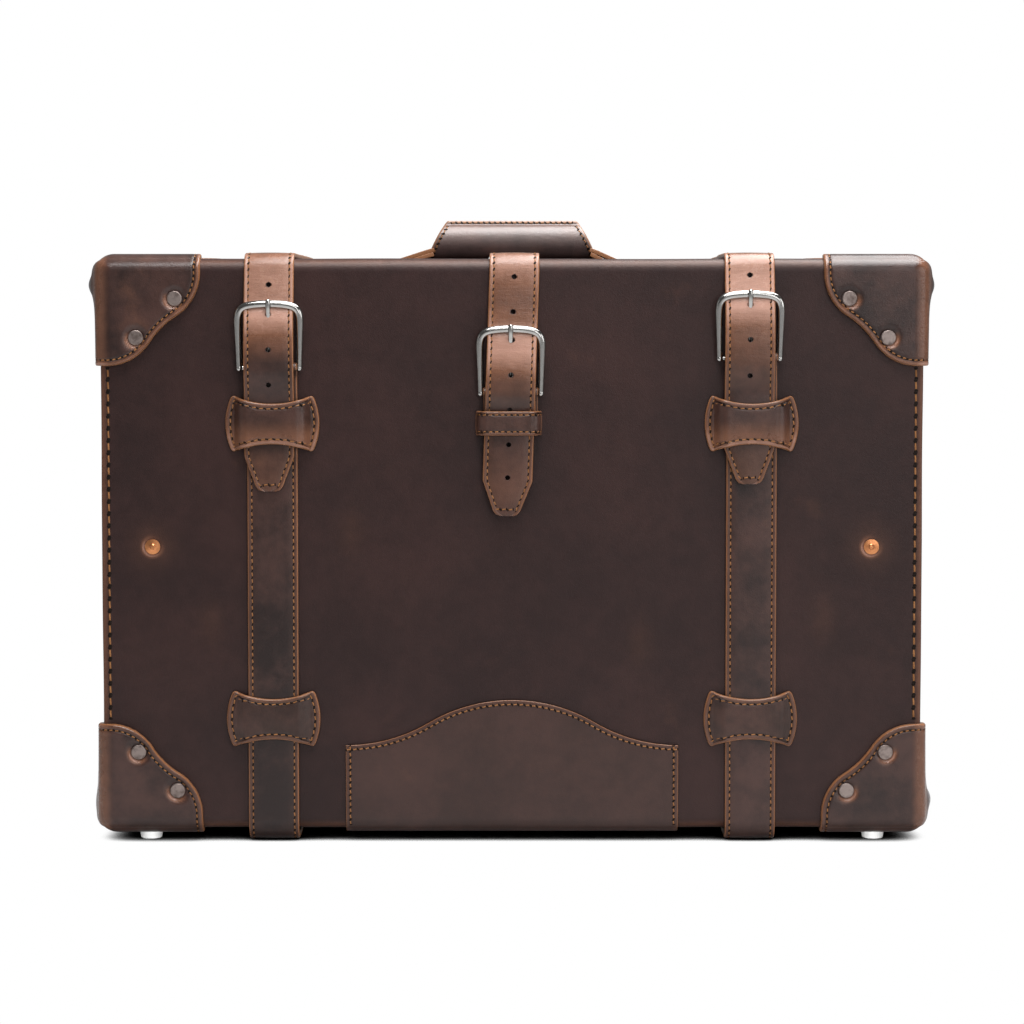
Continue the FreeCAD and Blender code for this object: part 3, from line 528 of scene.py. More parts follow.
def bend(pieces: Sequence[bpy.types.Object], first: str, second: str, start: tuple, end: tuple) -> None:
    """Bake each piece's placement into its mesh. The two bodies and the two places in millimetres from the
    split are not used.
    """
    ends = [tuple((np.array(at) + [0.0, SPLIT_Y, 0.0]) * MM) for at in (start, end)]
    for piece in pieces:
        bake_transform(piece)


def points_of(*columns: Union[Array, float]) -> Array:
    """Points whose coordinates are the given arrays or numbers, spread to one common shape."""
    return np.stack(np.broadcast_arrays(*columns), axis=-1)


def joined(*legs: tuple) -> Array:
    """The points of one run, from the coordinates of each of its legs."""
    return np.concatenate([points_of(*leg) for leg in legs])


def spread(low: float, high: float, step: float, *fine: tuple[float, float, float]) -> Array:
    """Places from low to high about a step apart, closer in the (from, to, step) ranges given."""
    parts = [np.linspace(low, high, max(2, int(round((high - low) / step)) + 1))]
    parts += [np.arange(start, end + gap / 2, gap) for start, end, gap in fine]
    places = np.unique(np.round(np.concatenate(parts), 3))
    return places[(places >= low) & (places <= high)]


def fine_ends(low: float, high: float, reach: float, gap: float) -> list[tuple[float, float, float]]:
    """Ranges of closer places at both ends of a stretch."""
    return [(low, low + reach, gap), (high - reach, high, gap)]


def unit(vectors: Array) -> Array:
    """Vectors scaled to length one."""
    return vectors / np.maximum(np.linalg.norm(vectors, axis=-1, keepdims=True), 1e-9)


def ease(value: Array) -> Array:
    """A smooth step from 0 at 0 to 1 at 1."""
    held = np.clip(value, 0.0, 1.0)
    return held * held * (3.0 - 2.0 * held)


def round_end(to_end: Array, radius: float) -> Array:
    """Half width near a round end: a quarter circle of the radius, and the radius from there on."""
    return radius * np.sqrt(1.0 - np.clip(1.0 - to_end / radius, 0.0, 1.0) ** 2)


def arc(centre: Sequence[float], radius: float, start: float, end: float, count: int) -> Array:
    """Points of a flat arc between two angles in degrees."""
    turn = np.radians(np.linspace(start, end, count))
    return np.stack([centre[0] + radius * np.cos(turn), centre[1] + radius * np.sin(turn)], axis=-1)


def run_length(points: Array) -> Array:
    """Distance along a line of points, from its first."""
    steps = np.linalg.norm(np.diff(points, axis=0), axis=-1)
    return np.concatenate([[0.0], np.cumsum(steps)])


def resample(values: Array, places: Array, length: Optional[Array] = None) -> Array:
    """Points of a line, or values known at distances along one, at other distances along it."""
    known = run_length(values) if length is None else length
    return np.stack([np.interp(places, known, column) for column in values.T], axis=-1)


def doubled(values: Array) -> Array:
    """Values along a run with the first and the last of them once more, for its closed ends."""
    return np.concatenate([values[:1], values, values[-1:]])


def capped(rings: Array, middle: Array) -> Laid:
    """Rings of points along a middle line, drawn together at both ends."""
    ends = [np.repeat(middle[[k]][:, None], rings.shape[1], axis=1) for k in (0, -1)]
    points = np.concatenate([ends[0], rings, ends[1]])
    return points, points - doubled(middle)[:, None]


def softened(corners: Array, window: float, step: float = 0.5, closed: bool = False) -> Array:
    """A line through corners with its bends rounded.

    Points a step apart are averaged twice over the window; the ends are drawn out straight first
    so that they stay where they are.
    """
    line = np.vstack([corners, corners[:1]]) if closed else np.asarray(corners, dtype=float)
    length = run_length(line)[-1]
    dense = resample(line, np.linspace(0.0, length, int(length / step) + 1))
    reach = max(1, int(window / step / 2))
    kernel = np.ones(2 * reach + 1) / (2 * reach + 1)
    dense = dense[:-1] if closed else dense
    beyond = {"mode": "wrap"} if closed else {"mode": "reflect", "reflect_type": "odd"}
    for _ in range(2):
        padded = np.pad(dense, ((reach, reach), (0, 0)), **beyond)
        dense = np.stack([np.convolve(column, kernel, mode="valid") for column in padded.T], axis=-1)
    return dense


def left_of(along: Array) -> Array:
    """Flat directions turned a quarter to the left."""
    return np.stack([-along[:, 1], along[:, 0]], axis=-1)


def inset_line(line: Array, by: float) -> Array:
    """A flat line moved sideways, to the left of its run, by a distance."""
    return line + by * left_of(unit(np.gradient(line, axis=0)))


def cut_edge(thick: float, bevel: float) -> tuple[Array, Array]:
    """Distances in from a cut edge and heights there: a quarter round, then the wall down to 0."""
    turn = np.linspace(0.0, math.pi / 2.0, 5)
    inset = bevel * (1.0 - np.sin(turn))
    height = thick - bevel * (1.0 - np.cos(turn))
    return np.append(inset, 0.0), np.append(height, 0.0)


@dataclass(frozen=True)
class Cut:
    """How a piece of leather is cut: its thickness, its rounded edge and the groove of its stitching."""

    thick: float
    bevel: float
    stitch_in: float
    groove: float = 0.45
    wear: float = 0.0
    # lip: painted highlight along the free edge, a little in from it, added to the wear
    lip: float = 0.1

    def profile(self) -> tuple[Array, Array]:
        """Distances in from the edge and heights, from the flat over the groove to the foot of the edge."""
        inset, height = cut_edge(self.thick, self.bevel)
        band = self.stitch_in + np.array([3.0, 1.8, 1.0, 0.5, 0.0, -0.5, -1.0, -1.6])
        band = band[band > self.bevel + 0.25]
        sunk = self.thick - self.groove * np.exp(-((band - self.stitch_in) / 0.75) ** 2)
        return np.concatenate([band, inset]), np.concatenate([sunk, height])


def rivet_ring(far: Array) -> Array:
    """Painted highlight at a distance from a rivet: a pale ring round the head, where the dimpled leather
    would catch the light.
    """
    return np.exp(-((far - RING_OUT) / RING_WIDE) ** 2)


def no_relief(flat: Array) -> Array:
    """A flat surface."""
    return np.zeros(flat.shape[:-1])


def inward(outline: Array, free: Array, focus: Array) -> Array:
    """Steps that lead one millimetre in from the free edge of a closed outline.

    Where the whole outline is free they keep to the rays from the focus, so that they never cross;
    otherwise they are square to the edge.
    """
    if free.all():
        along = unit(np.gradient(np.vstack([outline[-1:], outline, outline[:1]]), axis=0)[1:-1])
        normal = left_of(along)
        ray = unit(focus - outline)
        return ray / np.maximum(np.sum(ray * normal, axis=-1, keepdims=True), 0.45)
    along = np.zeros(outline.shape)
    along[free > 0] = unit(np.gradient(outline[free > 0], axis=0))
    return left_of(along)


def star_patches(outline: Array, free: Array, focus: Sequence[float], cut: Cut, place: Place,
                 rings: int = 18, relief: Callable[[Array], Array] = no_relief,
                 extra_wear_and_highlight: Callable[[Array], Array] = no_relief) -> list[Patch]:
    """A cut piece of leather as rays from a focus to its outline, with its underside.

    Args:
        outline: the closed outline on the flat, without its first point again.
        free: for each outline point, 1 where the leather ends there and 0 where it folds on.
        focus: a point of the flat that sees the whole outline.
        cut: thickness, edge and stitched groove of the leather.
        place: gives points and outward directions for flat places and heights.
        rings: how many rings of points lie inside the edge.
        relief: extra height over the flat.
        extra_wear_and_highlight: extra wear, with painted highlights, over the flat.

    Returns:
        The upper patch and the under patch.
    """
    centre = np.asarray(focus)
    inset, height = cut.profile()
    step_in = inward(outline, free, centre) * free[:, None]
    edges = outline[None] + inset[:, None, None] * step_in[None]
    share = np.linspace(0.0, 1.0, rings)[:-1, None, None]
    flat = np.concatenate([centre + share * (edges[0] - centre)[None], edges])
    tall = cut.thick + (height[:, None] - cut.thick) * free[None]
    tall = np.concatenate([np.full((rings - 1, len(outline)), cut.thick), tall])
    tall = tall + relief(flat) * np.clip(tall / cut.thick, 0.0, 1.0)
    points, facing = place(flat, tall)
    inset = np.concatenate([np.linspace(30.0, inset[0], rings)[:-1], inset])
    raw = (inset < 0.55 * cut.bevel)[:, None] * free[None]
    # wear near the free edge, plus the cut's lip term, a painted highlight along the lip
    lip = 0.36 * ease(1.3 - inset / 3.2) + cut.lip * np.exp(-((inset - 1.7) / 0.9) ** 2)
    rub = cut.wear + lip[:, None] * free[None] + extra_wear_and_highlight(flat)
    upper = Patch(points, facing, flat, raw, rub, closed=True)
    low_flat = centre + np.linspace(0.0, 1.0, rings)[:, None, None] * (outline - centre)[None]
    low_points, low_facing = place(low_flat, np.zeros(low_flat.shape[:-1]))
    return [upper, Patch(low_points, -low_facing, low_flat, closed=True)]


@dataclass(frozen=True)
class CaseShape:
    """The outside of the case, or of a layer inside it, as a box with three kinds of rounded edge."""

    half_width: float = 307.25
    low: float = 9.0
    high: float = 437.0
    depth: float = 100.0
    corner: float = 10.5
    roll: float = 10.0
    side_edge: float = 3.5

    def inset(self, by: float) -> "CaseShape":
        """The same shape moved inwards on all sides."""
        return replace(self, half_width=self.half_width - by, low=self.low + by, high=self.high - by,
                       depth=self.depth - by, corner=self.corner - by, roll=max(self.roll - by, 2.0),
                       side_edge=max(self.side_edge - by, 1.5))

    def skin(self, sharp: Array, half: Half) -> Laid:
        """Carry points of the plain box onto its rounded surface.

        First the corners seen from the front are rounded: a square corner zone becomes a sector, with
        the larger of its two offsets as the radius. Then the front edge is rounded in the same way, in
        the plane of the distance in from the outline and the distance back from the front.

        Args:
            sharp: points (x, distance from the split, z) on the plain box.
            half: which half of the case.

        Returns:
            Points and unit outward directions.
        """
        x, deep, z = np.moveaxis(sharp, -1, 0)
        middle = (self.low + self.high) / 2.0
        tall = (self.high - self.low) / 2.0
        x_sign = np.where(x < 0, -1.0, 1.0)
        z_sign = np.where(z < middle, -1.0, 1.0)
        across, up = np.abs(x), np.abs(z - middle)
        core_x, core_z = self.half_width - self.corner, tall - self.corner
        out_x, out_z = across - core_x, up - core_z
        in_corner = (out_x > 0) & (out_z > 0)
        size = np.maximum(np.hypot(out_x, out_z), 1e-9)
        to_side = (self.half_width - across) < (tall - up)
        within = np.where(in_corner, self.corner - np.maximum(out_x, out_z),
                          np.minimum(self.half_width - across, tall - up))
        face_x = np.where(in_corner, out_x / size, np.where(to_side, 1.0, 0.0))
        face_z = np.where(in_corner, out_z / size, np.where(to_side, 0.0, 1.0))
        back = self.depth - deep
        radius = self.side_edge + (self.roll - self.side_edge) * face_z ** 2
        in_edge = (within < radius) & (back < radius)
        side_part, front_part = (radius - within) / radius, (radius - back) / radius
        length = np.maximum(np.hypot(side_part, front_part), 1e-9)
        shrink = np.maximum(side_part, front_part) / length
        within = np.where(in_edge, radius * (1.0 - side_part * shrink), within)
        back = np.where(in_edge, radius * (1.0 - front_part * shrink), back)
        on_front = np.where(in_edge, front_part / length, np.where(back < within, 1.0, 0.0))
        on_side = np.where(in_edge, side_part / length, np.where(back < within, 0.0, 1.0))
        round_out = self.corner - within
        flat_x = np.where(to_side, self.half_width - within, across)
        flat_z = np.where(to_side, up, tall - within)
        new_x = np.where(in_corner, core_x + face_x * round_out, flat_x)
        new_z = np.where(in_corner, core_z + face_z * round_out, flat_z)
        points = points_of(x_sign * new_x, half.value * (self.depth - back), middle + z_sign * new_z)
        facing = points_of(x_sign * face_x * on_side, half.value * on_front, z_sign * face_z * on_side)
        return points, unit(facing)

    def place(self, sharp: Array, height: Array, half: Half) -> Laid:
        """Points at a height over the rounded surface, and their outward directions."""
        points, facing = self.skin(sharp, half)
        return points + facing * np.asarray(height)[..., None], facing


CASE = CaseShape()
# Where straps bend over the edges of the case, their places lie closer: from, to and step.
FRONT_BEND = (CASE.depth - 11.0, CASE.depth, 0.8)
LOW_BEND = (CASE.low, CASE.low + 11.0, 0.8)
HIGH_BEND = (CASE.high - 11.0, CASE.high, 0.8)


class Stitching:
    """Rows of thread gathered into one piece."""

    STATIONS = np.array([-1.0, -0.8, -0.62, -0.5, 0.0, 0.5, 0.62, 0.8, 1.0])
    # stations painted as needle-hole shade
    HOLE_SHADE = np.array([1.0, 1.0, 1.0, 0.0, 0.0, 0.0, 1.0, 1.0, 1.0])
    TAPER = np.array([2.7, 2.4, 1.4, 0.9, 1.1, 0.9, 1.4, 2.4, 2.7])
    TOP = np.array([0.4, 0.4, 0.42, 0.7, 1.15, 0.7, 0.42, 0.4, 0.4])
    SQUASH = np.array([0.25, 0.25, 0.4, 1.0, 1.0, 1.0, 0.4, 0.25, 0.25])
    ROUND = 6

    def __init__(self, name: str, width: float = 0.9, rise: float = 0.5) -> None:
        """Start an empty piece of stitching."""
        self.name = name
        self.width = width
        self.rise = rise
        self.runs: list[tuple[Array, Array, Array, float]] = []

    def row(self, points: Array, facing: Array, pitch: float, gap: float = 0.02, slant: float = 0.16) -> None:
        """Add one row of stitches along a line on a surface.

        Args:
            points: the line.
            facing: outward directions along it.
            pitch: from one stitch to the next.
            gap: share of the pitch left between stitches.
            slant: turn of each stitch out of the line, as a slope.
        """
        length = run_length(points)
        count = max(1, int(round(length[-1] / pitch)))
        middles = (np.arange(count) + 0.5) * length[-1] / count
        centre = resample(points, middles)
        ahead = resample(points, np.minimum(middles + 0.4, length[-1]))
        behind = resample(points, np.maximum(middles - 0.4, 0.0))
        up = unit(resample(facing, middles, length))
        along = unit(ahead - behind)
        along = unit(along + slant * np.cross(up, along))
        self.runs.append((centre, along, up, length[-1] / count * (1.0 - gap)))

    def patches(self) -> list[Patch]:
        """Every stitch as a short bar: a thread that rises between two ends painted near black as the shade
        in its needle holes.
        """
        turn = np.linspace(0.0, 2.0 * math.pi, self.ROUND + 1)[:-1] + math.pi / 6
        girth = self.TAPER[:, None] * self.width / 2
        wide = girth * np.sin(turn)[None]
        tall = self.SQUASH[:, None] * girth * (np.cos(turn) - math.cos(math.pi / 6))[None]
        tall = tall + (self.TOP * self.rise)[:, None]
        made = []
        for centre, along, up, length in self.runs:
            side = np.cross(along, up)
            run = (self.STATIONS * length / 2)[None, :, None, None]
            bars = centre[:, None, None] + run * along[:, None, None]
            bars = bars + wide[..., None] * side[:, None, None]
            made.append(bars + tall[..., None] * up[:, None, None])
        bars = np.concatenate(made)
        return [StitchPatch(bars, bars, np.zeros((*bars.shape[:3], 2)), self.HOLE_SHADE[None, :, None])]

    def build(self, shop: Workshop) -> bpy.types.Object:
        """Make the piece."""
        return shop.make(self.name, self.patches(), Slot.THREAD, weld=False)


class StitchPatch(Patch):
    """Many separate bars of stations by round points, with closed ends."""

    def quads(self) -> Array:
        """The walls of each bar and two quads for each of its ends."""
        bars, stations, round_count = self.points.shape[:3]
        numbers = np.arange(stations * round_count).reshape(stations, round_count)
        ring = np.concatenate([numbers, numbers[:, :1]], axis=1)
        walls = np.stack([ring[:-1, :-1], ring[1:, :-1], ring[1:, 1:], ring[:-1, 1:]], axis=-1).reshape(-1, 4)
        first, last = numbers[0], numbers[-1]
        ends = np.array([
            [first[0], first[1], first[2], first[3]], [first[0], first[3], first[4], first[5]],
            [last[3], last[2], last[1], last[0]], [last[5], last[4], last[3], last[0]],
        ])
        one = np.concatenate([walls, ends])
        return (one[None] + (np.arange(bars) * stations * round_count)[:, None, None]).reshape(-1, 4)


@dataclass
class StrapRun:
    """A strap: a cut section carried along a line of places, each with its outward direction."""

    line: Array
    facing: Array
    half: Union[Array, float]
    thick: float = 3.8
    bevel: float = 1.1
    stitch_in: float = 3.3
    crown: float = 0.3
    groove: float = 0.28
    across: Array = field(default_factory=lambda: X_AXIS)
    wear: Union[Array, float] = 0.0

    def __post_init__(self) -> None:
        """Spread what is the same all along over the places of the line."""
        self.half, self.wear = (np.broadcast_to(v, (len(self.line),)) for v in (self.half, self.wear))
        self.across = np.broadcast_to(self.across, self.line.shape)

    def section(self) -> tuple[Array, Array, Array, Array]:
        """The section from the middle of the upper face round to the middle of the lower face and back.

        Returns:
            For each point: its place across as a share of the half width, plus a distance; its height;
            and 1 on the cut edge.
        """
        inner = np.array([0.0, 0.09, 0.19, 0.4, 0.7])
        band = self.stitch_in + 1.1
        dips = np.array([1.1, 0.45, 0.0, -0.45, -1.1])
        sink = self.groove * np.array([0.0, 0.5, 1.0, 0.5, 0.0])
        inset, height = cut_edge(self.thick, self.bevel)
        share = np.concatenate([inner, np.ones(5), np.ones(10), [0.4, 0.0]])
        shift = np.concatenate([-band * inner, -self.stitch_in - dips, -inset[:5], -inset[4::-1], [0.0, 0.0]])
        tall = np.concatenate([self.thick + self.crown * (1.0 - inner ** 2), self.thick - sink,
                               height[:5], self.thick - height[4::-1], [0.0, 0.0]])
        raw = np.concatenate([np.zeros(10), [0.0, 0.6], np.ones(7), [0.0], np.zeros(2)])
        mirror = slice(-2, 0, -1)
        return (np.concatenate([share, -share[mirror]]), np.concatenate([shift, -shift[mirror]]),
                np.concatenate([tall, tall[mirror]]), np.concatenate([raw, raw[mirror]]))

    def patches(self) -> list[Patch]:
        """The strap as one closed surface whose ends are drawn together to their middles."""
        share, shift, tall, raw = self.section()
        place = self.half[:, None] * share[None] + shift[None]
        rings = (self.line[:, None] + place[..., None] * self.across[:, None]
                 + tall[None, :, None] * self.facing[:, None])
        points, facing = capped(rings, self.line + self.facing * self.thick / 2)
        place = doubled(place)
        pattern = points_of(doubled(run_length(self.line))[:, None], place)
        to_edge = np.where(np.abs(share) == 1.0, np.abs(shift), 9.0)
        near = 0.34 * ease(1.25 - to_edge / (self.stitch_in + 1.0))
        raws = np.broadcast_to(raw, place.shape).copy()
        raws[[0, -1]] = 1.0
        return [Patch(points, facing, pattern, raws, doubled(self.wear)[:, None] + near, closed=True)]

    def edge_rows(self, start: float = 0.0, end: float = 1e9) -> list[Laid]:
        """The two stitched lines of the strap, between two distances along it."""
        length = run_length(self.line)
        keep = (length >= start) & (length <= end)
        rows = []
        for side in SIDES.values():
            place = side * (self.half - self.stitch_in)
            points = self.line + place[:, None] * self.across + (self.thick - self.groove) * self.facing
            rows.append((points[keep], self.facing[keep]))
        return rows


def strap_line(line: Array, flip: float) -> Laid:
    """Points (0, y, z) and outward directions of a strap's inner face from a line of (y, z).

    The outward direction is the run turned a quarter; flip says to which side.
    """
    run = unit(np.gradient(line, axis=0))
    return points_of(0.0, *line.T), points_of(0.0, flip * run[:, 1], -flip * run[:, 0])


@dataclass
class CaseShell:
    """One half's leather: the wrap over front, top and bottom, and the two side pieces; and its lining."""

    half: Half
    gap: float = 0.3
    rim: float = 5.9
    side_sink: float = 0.4
    seam_in: float = 6.3
    seam_pitch: float = 9.0
    seam_low: float = 92.0
    seam_high: float = 356.0
    lining_in: float = 6.0
    rivet_x: float = 268.5
    rivet_up: float = 213.0
    scuffs: tuple = ((-225.0, 164.0), (233.0, 168.0), (-120.0, 232.0), (96.0, 150.0))

    @property
    def near(self) -> float:
        """Where the half begins, from the split."""
        return self.gap if self.half is Half.LID else 0.0

    def rim_rows(self) -> tuple[Array, Array]:
        """Distances from the split and heights where the leather turns in over the rim."""
        return self.near + np.array([0.0, 0.0, 0.25, 0.8]), np.array([-self.rim, -0.8, -0.22, 0.0])

    def swell(self, sharp: Array) -> Array:
        """Slow waves of the leather over the board: three sines of different directions, always inwards."""
        x, deep, z = np.moveaxis(sharp, -1, 0)
        waves = (np.sin(0.021 * x + 0.034 * z + 1.0) + np.sin(0.047 * x - 0.019 * z + 0.02 * deep)
                 + 0.6 * np.sin(0.013 * x + 0.061 * z + 2.0))
        return 0.1 * (waves - 2.6)

    def stains(self, sharp: Array) -> Array:
        """Round the two copper rivets: a faint stain, and a painted highlight in a pale ring, fuller at its
        lower left where the leather round the rivet would catch the light.
        """
        x, deep, z = np.moveaxis(sharp, -1, 0)
        across = x - np.where(x < 0.0, -self.rivet_x, self.rivet_x)
        up = z - CASE.low - self.rivet_up
        far = np.hypot(across, up)
        # pale ring: painted highlight, fuller at the lower left
        ring = rivet_ring(far) * (0.7 - 0.5 * (across + up) / (far + 1.0))
        return (1.2 * ring + 0.3 * np.exp(-(far / 14.0) ** 2)) * (deep > CASE.depth - 1.0)

    def wrap(self) -> list[Patch]:
        """The wrap as a grid: across the case by along its run over top, front and bottom."""
        deep_rim, tall_rim = self.rim_rows()
        deep = spread(self.near + 1.5, CASE.depth, 6.0, (CASE.depth - 10.5, CASE.depth, 0.9))
        deep = np.concatenate([deep_rim, deep])
        rivet_up = CASE.low + self.rivet_up
        up = spread(CASE.low, CASE.high, 6.0, *fine_ends(CASE.low, CASE.high, 10.5, 0.9),
                    (rivet_up - 12.0, rivet_up + 12.0, 1.2))[1:-1]
        run = joined((deep, CASE.high), (CASE.depth, up[::-1]), (deep[::-1], CASE.low))
        run_tall = np.concatenate([tall_rim, np.zeros(len(run) - 2 * len(tall_rim)), tall_rim[::-1]])
        edge = CASE.half_width
        rivets_x = [side * self.rivet_x for side in SIDES.values()]
        x = spread(-edge, edge, 6.0, *fine_ends(-edge, edge, 4.0, 0.5), *fine_ends(-edge, edge, 16.0, 2.0),
                   *[(at - 12.0, at + 12.0, 1.2) for at in rivets_x])
        x = np.concatenate([[-edge], x, [edge]])
        turn_in = np.zeros(len(x))
        turn_in[[0, -1]] = -1.6
        sharp = points_of(x[None], *run.T[..., None])
        tall = run_tall[:, None] + turn_in[None] + self.swell(sharp) * (run_tall > -0.5)[:, None]
        points, facing = CASE.place(sharp, tall, self.half)
        steps = np.concatenate([[0.0], np.cumsum(np.abs(np.diff(run, axis=0)).sum(axis=1))])
        pattern = points_of(x[None], steps[:, None])
        near_edge = ease(1.0 - (edge - np.abs(sharp[..., 0])) / 7.5)
        near_roll = ease(1.0 - (np.minimum(CASE.high - sharp[..., 2], sharp[..., 2] - CASE.low)
                                + CASE.depth - sharp[..., 1]) / 9.0)
        marks = [np.exp(-((sharp[..., 0] - x_at) / 9.0) ** 2 - ((sharp[..., 2] - z_at) / 16.0) ** 2)
                 for x_at, z_at in self.scuffs]
        on_face = (sharp[..., 1] > CASE.depth - 1.0) * (self.half is Half.LID)
        # the last term holds the painted highlight rings round the copper rivets
        rub = 0.95 * near_edge + 0.5 * near_roll + 0.14 * sum(marks) * on_face + self.stains(sharp)
        return [Patch(points, facing, pattern, 0.0, rub)]

    def sides(self) -> list[Patch]:
        """The two side leathers as grids of depth by height, set a little below the wrap."""
        deep_rim, tall_rim = self.rim_rows()
        deep = np.concatenate([deep_rim, spread(self.near + 1.5, CASE.depth, 6.0,
                                                (CASE.depth - 4.0, CASE.depth, 0.5)), [CASE.depth]])
        tall_deep = np.concatenate([tall_rim, np.zeros(len(deep) - len(tall_rim))])
        up = spread(CASE.low, CASE.high, 6.0, *fine_ends(CASE.low, CASE.high, 15.5, 1.5))
        made = []
        for side in SIDES.values():
            sharp = points_of(side * CASE.half_width, deep[None], up[:, None])
            tall = tall_deep[None] - self.side_sink + self.swell(sharp)
            points, facing = CASE.place(sharp, tall, self.half)
            rub = 0.25 * ease(1.0 - (CASE.depth - deep) / 5.0)
            made.append(Patch(points, facing, sharp[..., 1:], 0.0, rub))
        return made

    def lining(self) -> list[Patch]:
        """The lining as one grid run over top, face and bottom, and a grid for each end."""
        inside = CASE.inset(self.lining_in)
        deep = spread(self.near, inside.depth, 8.0, (inside.depth - 5.0, inside.depth, 1.0))
        up = spread(inside.low, inside.high, 8.0, *fine_ends(inside.low, inside.high, 9.0, 1.5))
        edge = inside.half_width
        x = spread(-edge, edge, 8.0, *fine_ends(-edge, edge, 9.0, 1.5))
        run = joined((deep, inside.high), (inside.depth, up[-2:0:-1]), (deep[::-1], inside.low))
        over = points_of(x[None], *run.T[..., None])
        ends = [points_of(side * edge, deep[None], up[:, None]) for side in SIDES.values()]
        patterns = [points_of(over[..., 0], over[..., 1] + over[..., 2]), *[end[..., 1:] for end in ends]]
        made = []
        for sharp, pattern in zip([over, *ends], patterns):
            slack = -0.05 * (1.0 + np.sin(0.05 * sharp[..., 0] + 0.031 * sharp[..., 2]))
            points, facing = inside.place(sharp, slack, self.half)
            made.append(Patch(points, -facing, pattern))
        return made

    def seams(self) -> Stitching:
        """The long hand stitches beside the two upright edges of the face."""
        stitching = Stitching(self.half.body + "_edge_stitching", width=1.3, rise=0.7)
        up = np.linspace(self.seam_low, self.seam_high, 60)
        for side in SIDES.values():
            sharp = points_of(side * (CASE.half_width - self.seam_in), CASE.depth, up)
            points, facing = CASE.place(sharp, self.swell(sharp), self.half)
            stitching.row(points, facing, self.seam_pitch, slant=0.05)
        return stitching

    def build(self, shop: Workshop) -> None:
        """Make the leather, the seams and the lining of this half."""
        name = self.half.body
        wrap = shop.make(name + "_leather_wrap", self.wrap(), Slot.CASE)
        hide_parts(name + "_wrap", name + "_core")
        sides = shop.make(name + "_side_leathers", self.sides(), Slot.CASE)
        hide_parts(name + "_sides")
        lining = shop.make(name + "_cloth_lining", self.lining(), Slot.LINING)
        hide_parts(name + "_lining")
        for made in (wrap, sides, lining, self.seams().build(shop)):
            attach(made, name)


class Flap(Enum):
    """The flaps of a cap, valued by where its two flat directions lead in from the corner."""

    FACE = ((1, 0, 0), (0, 0, 1))
    TOP = ((1, 0, 0), (0, 1, 0))
    END = ((0, 1, 0), (0, 0, 1))


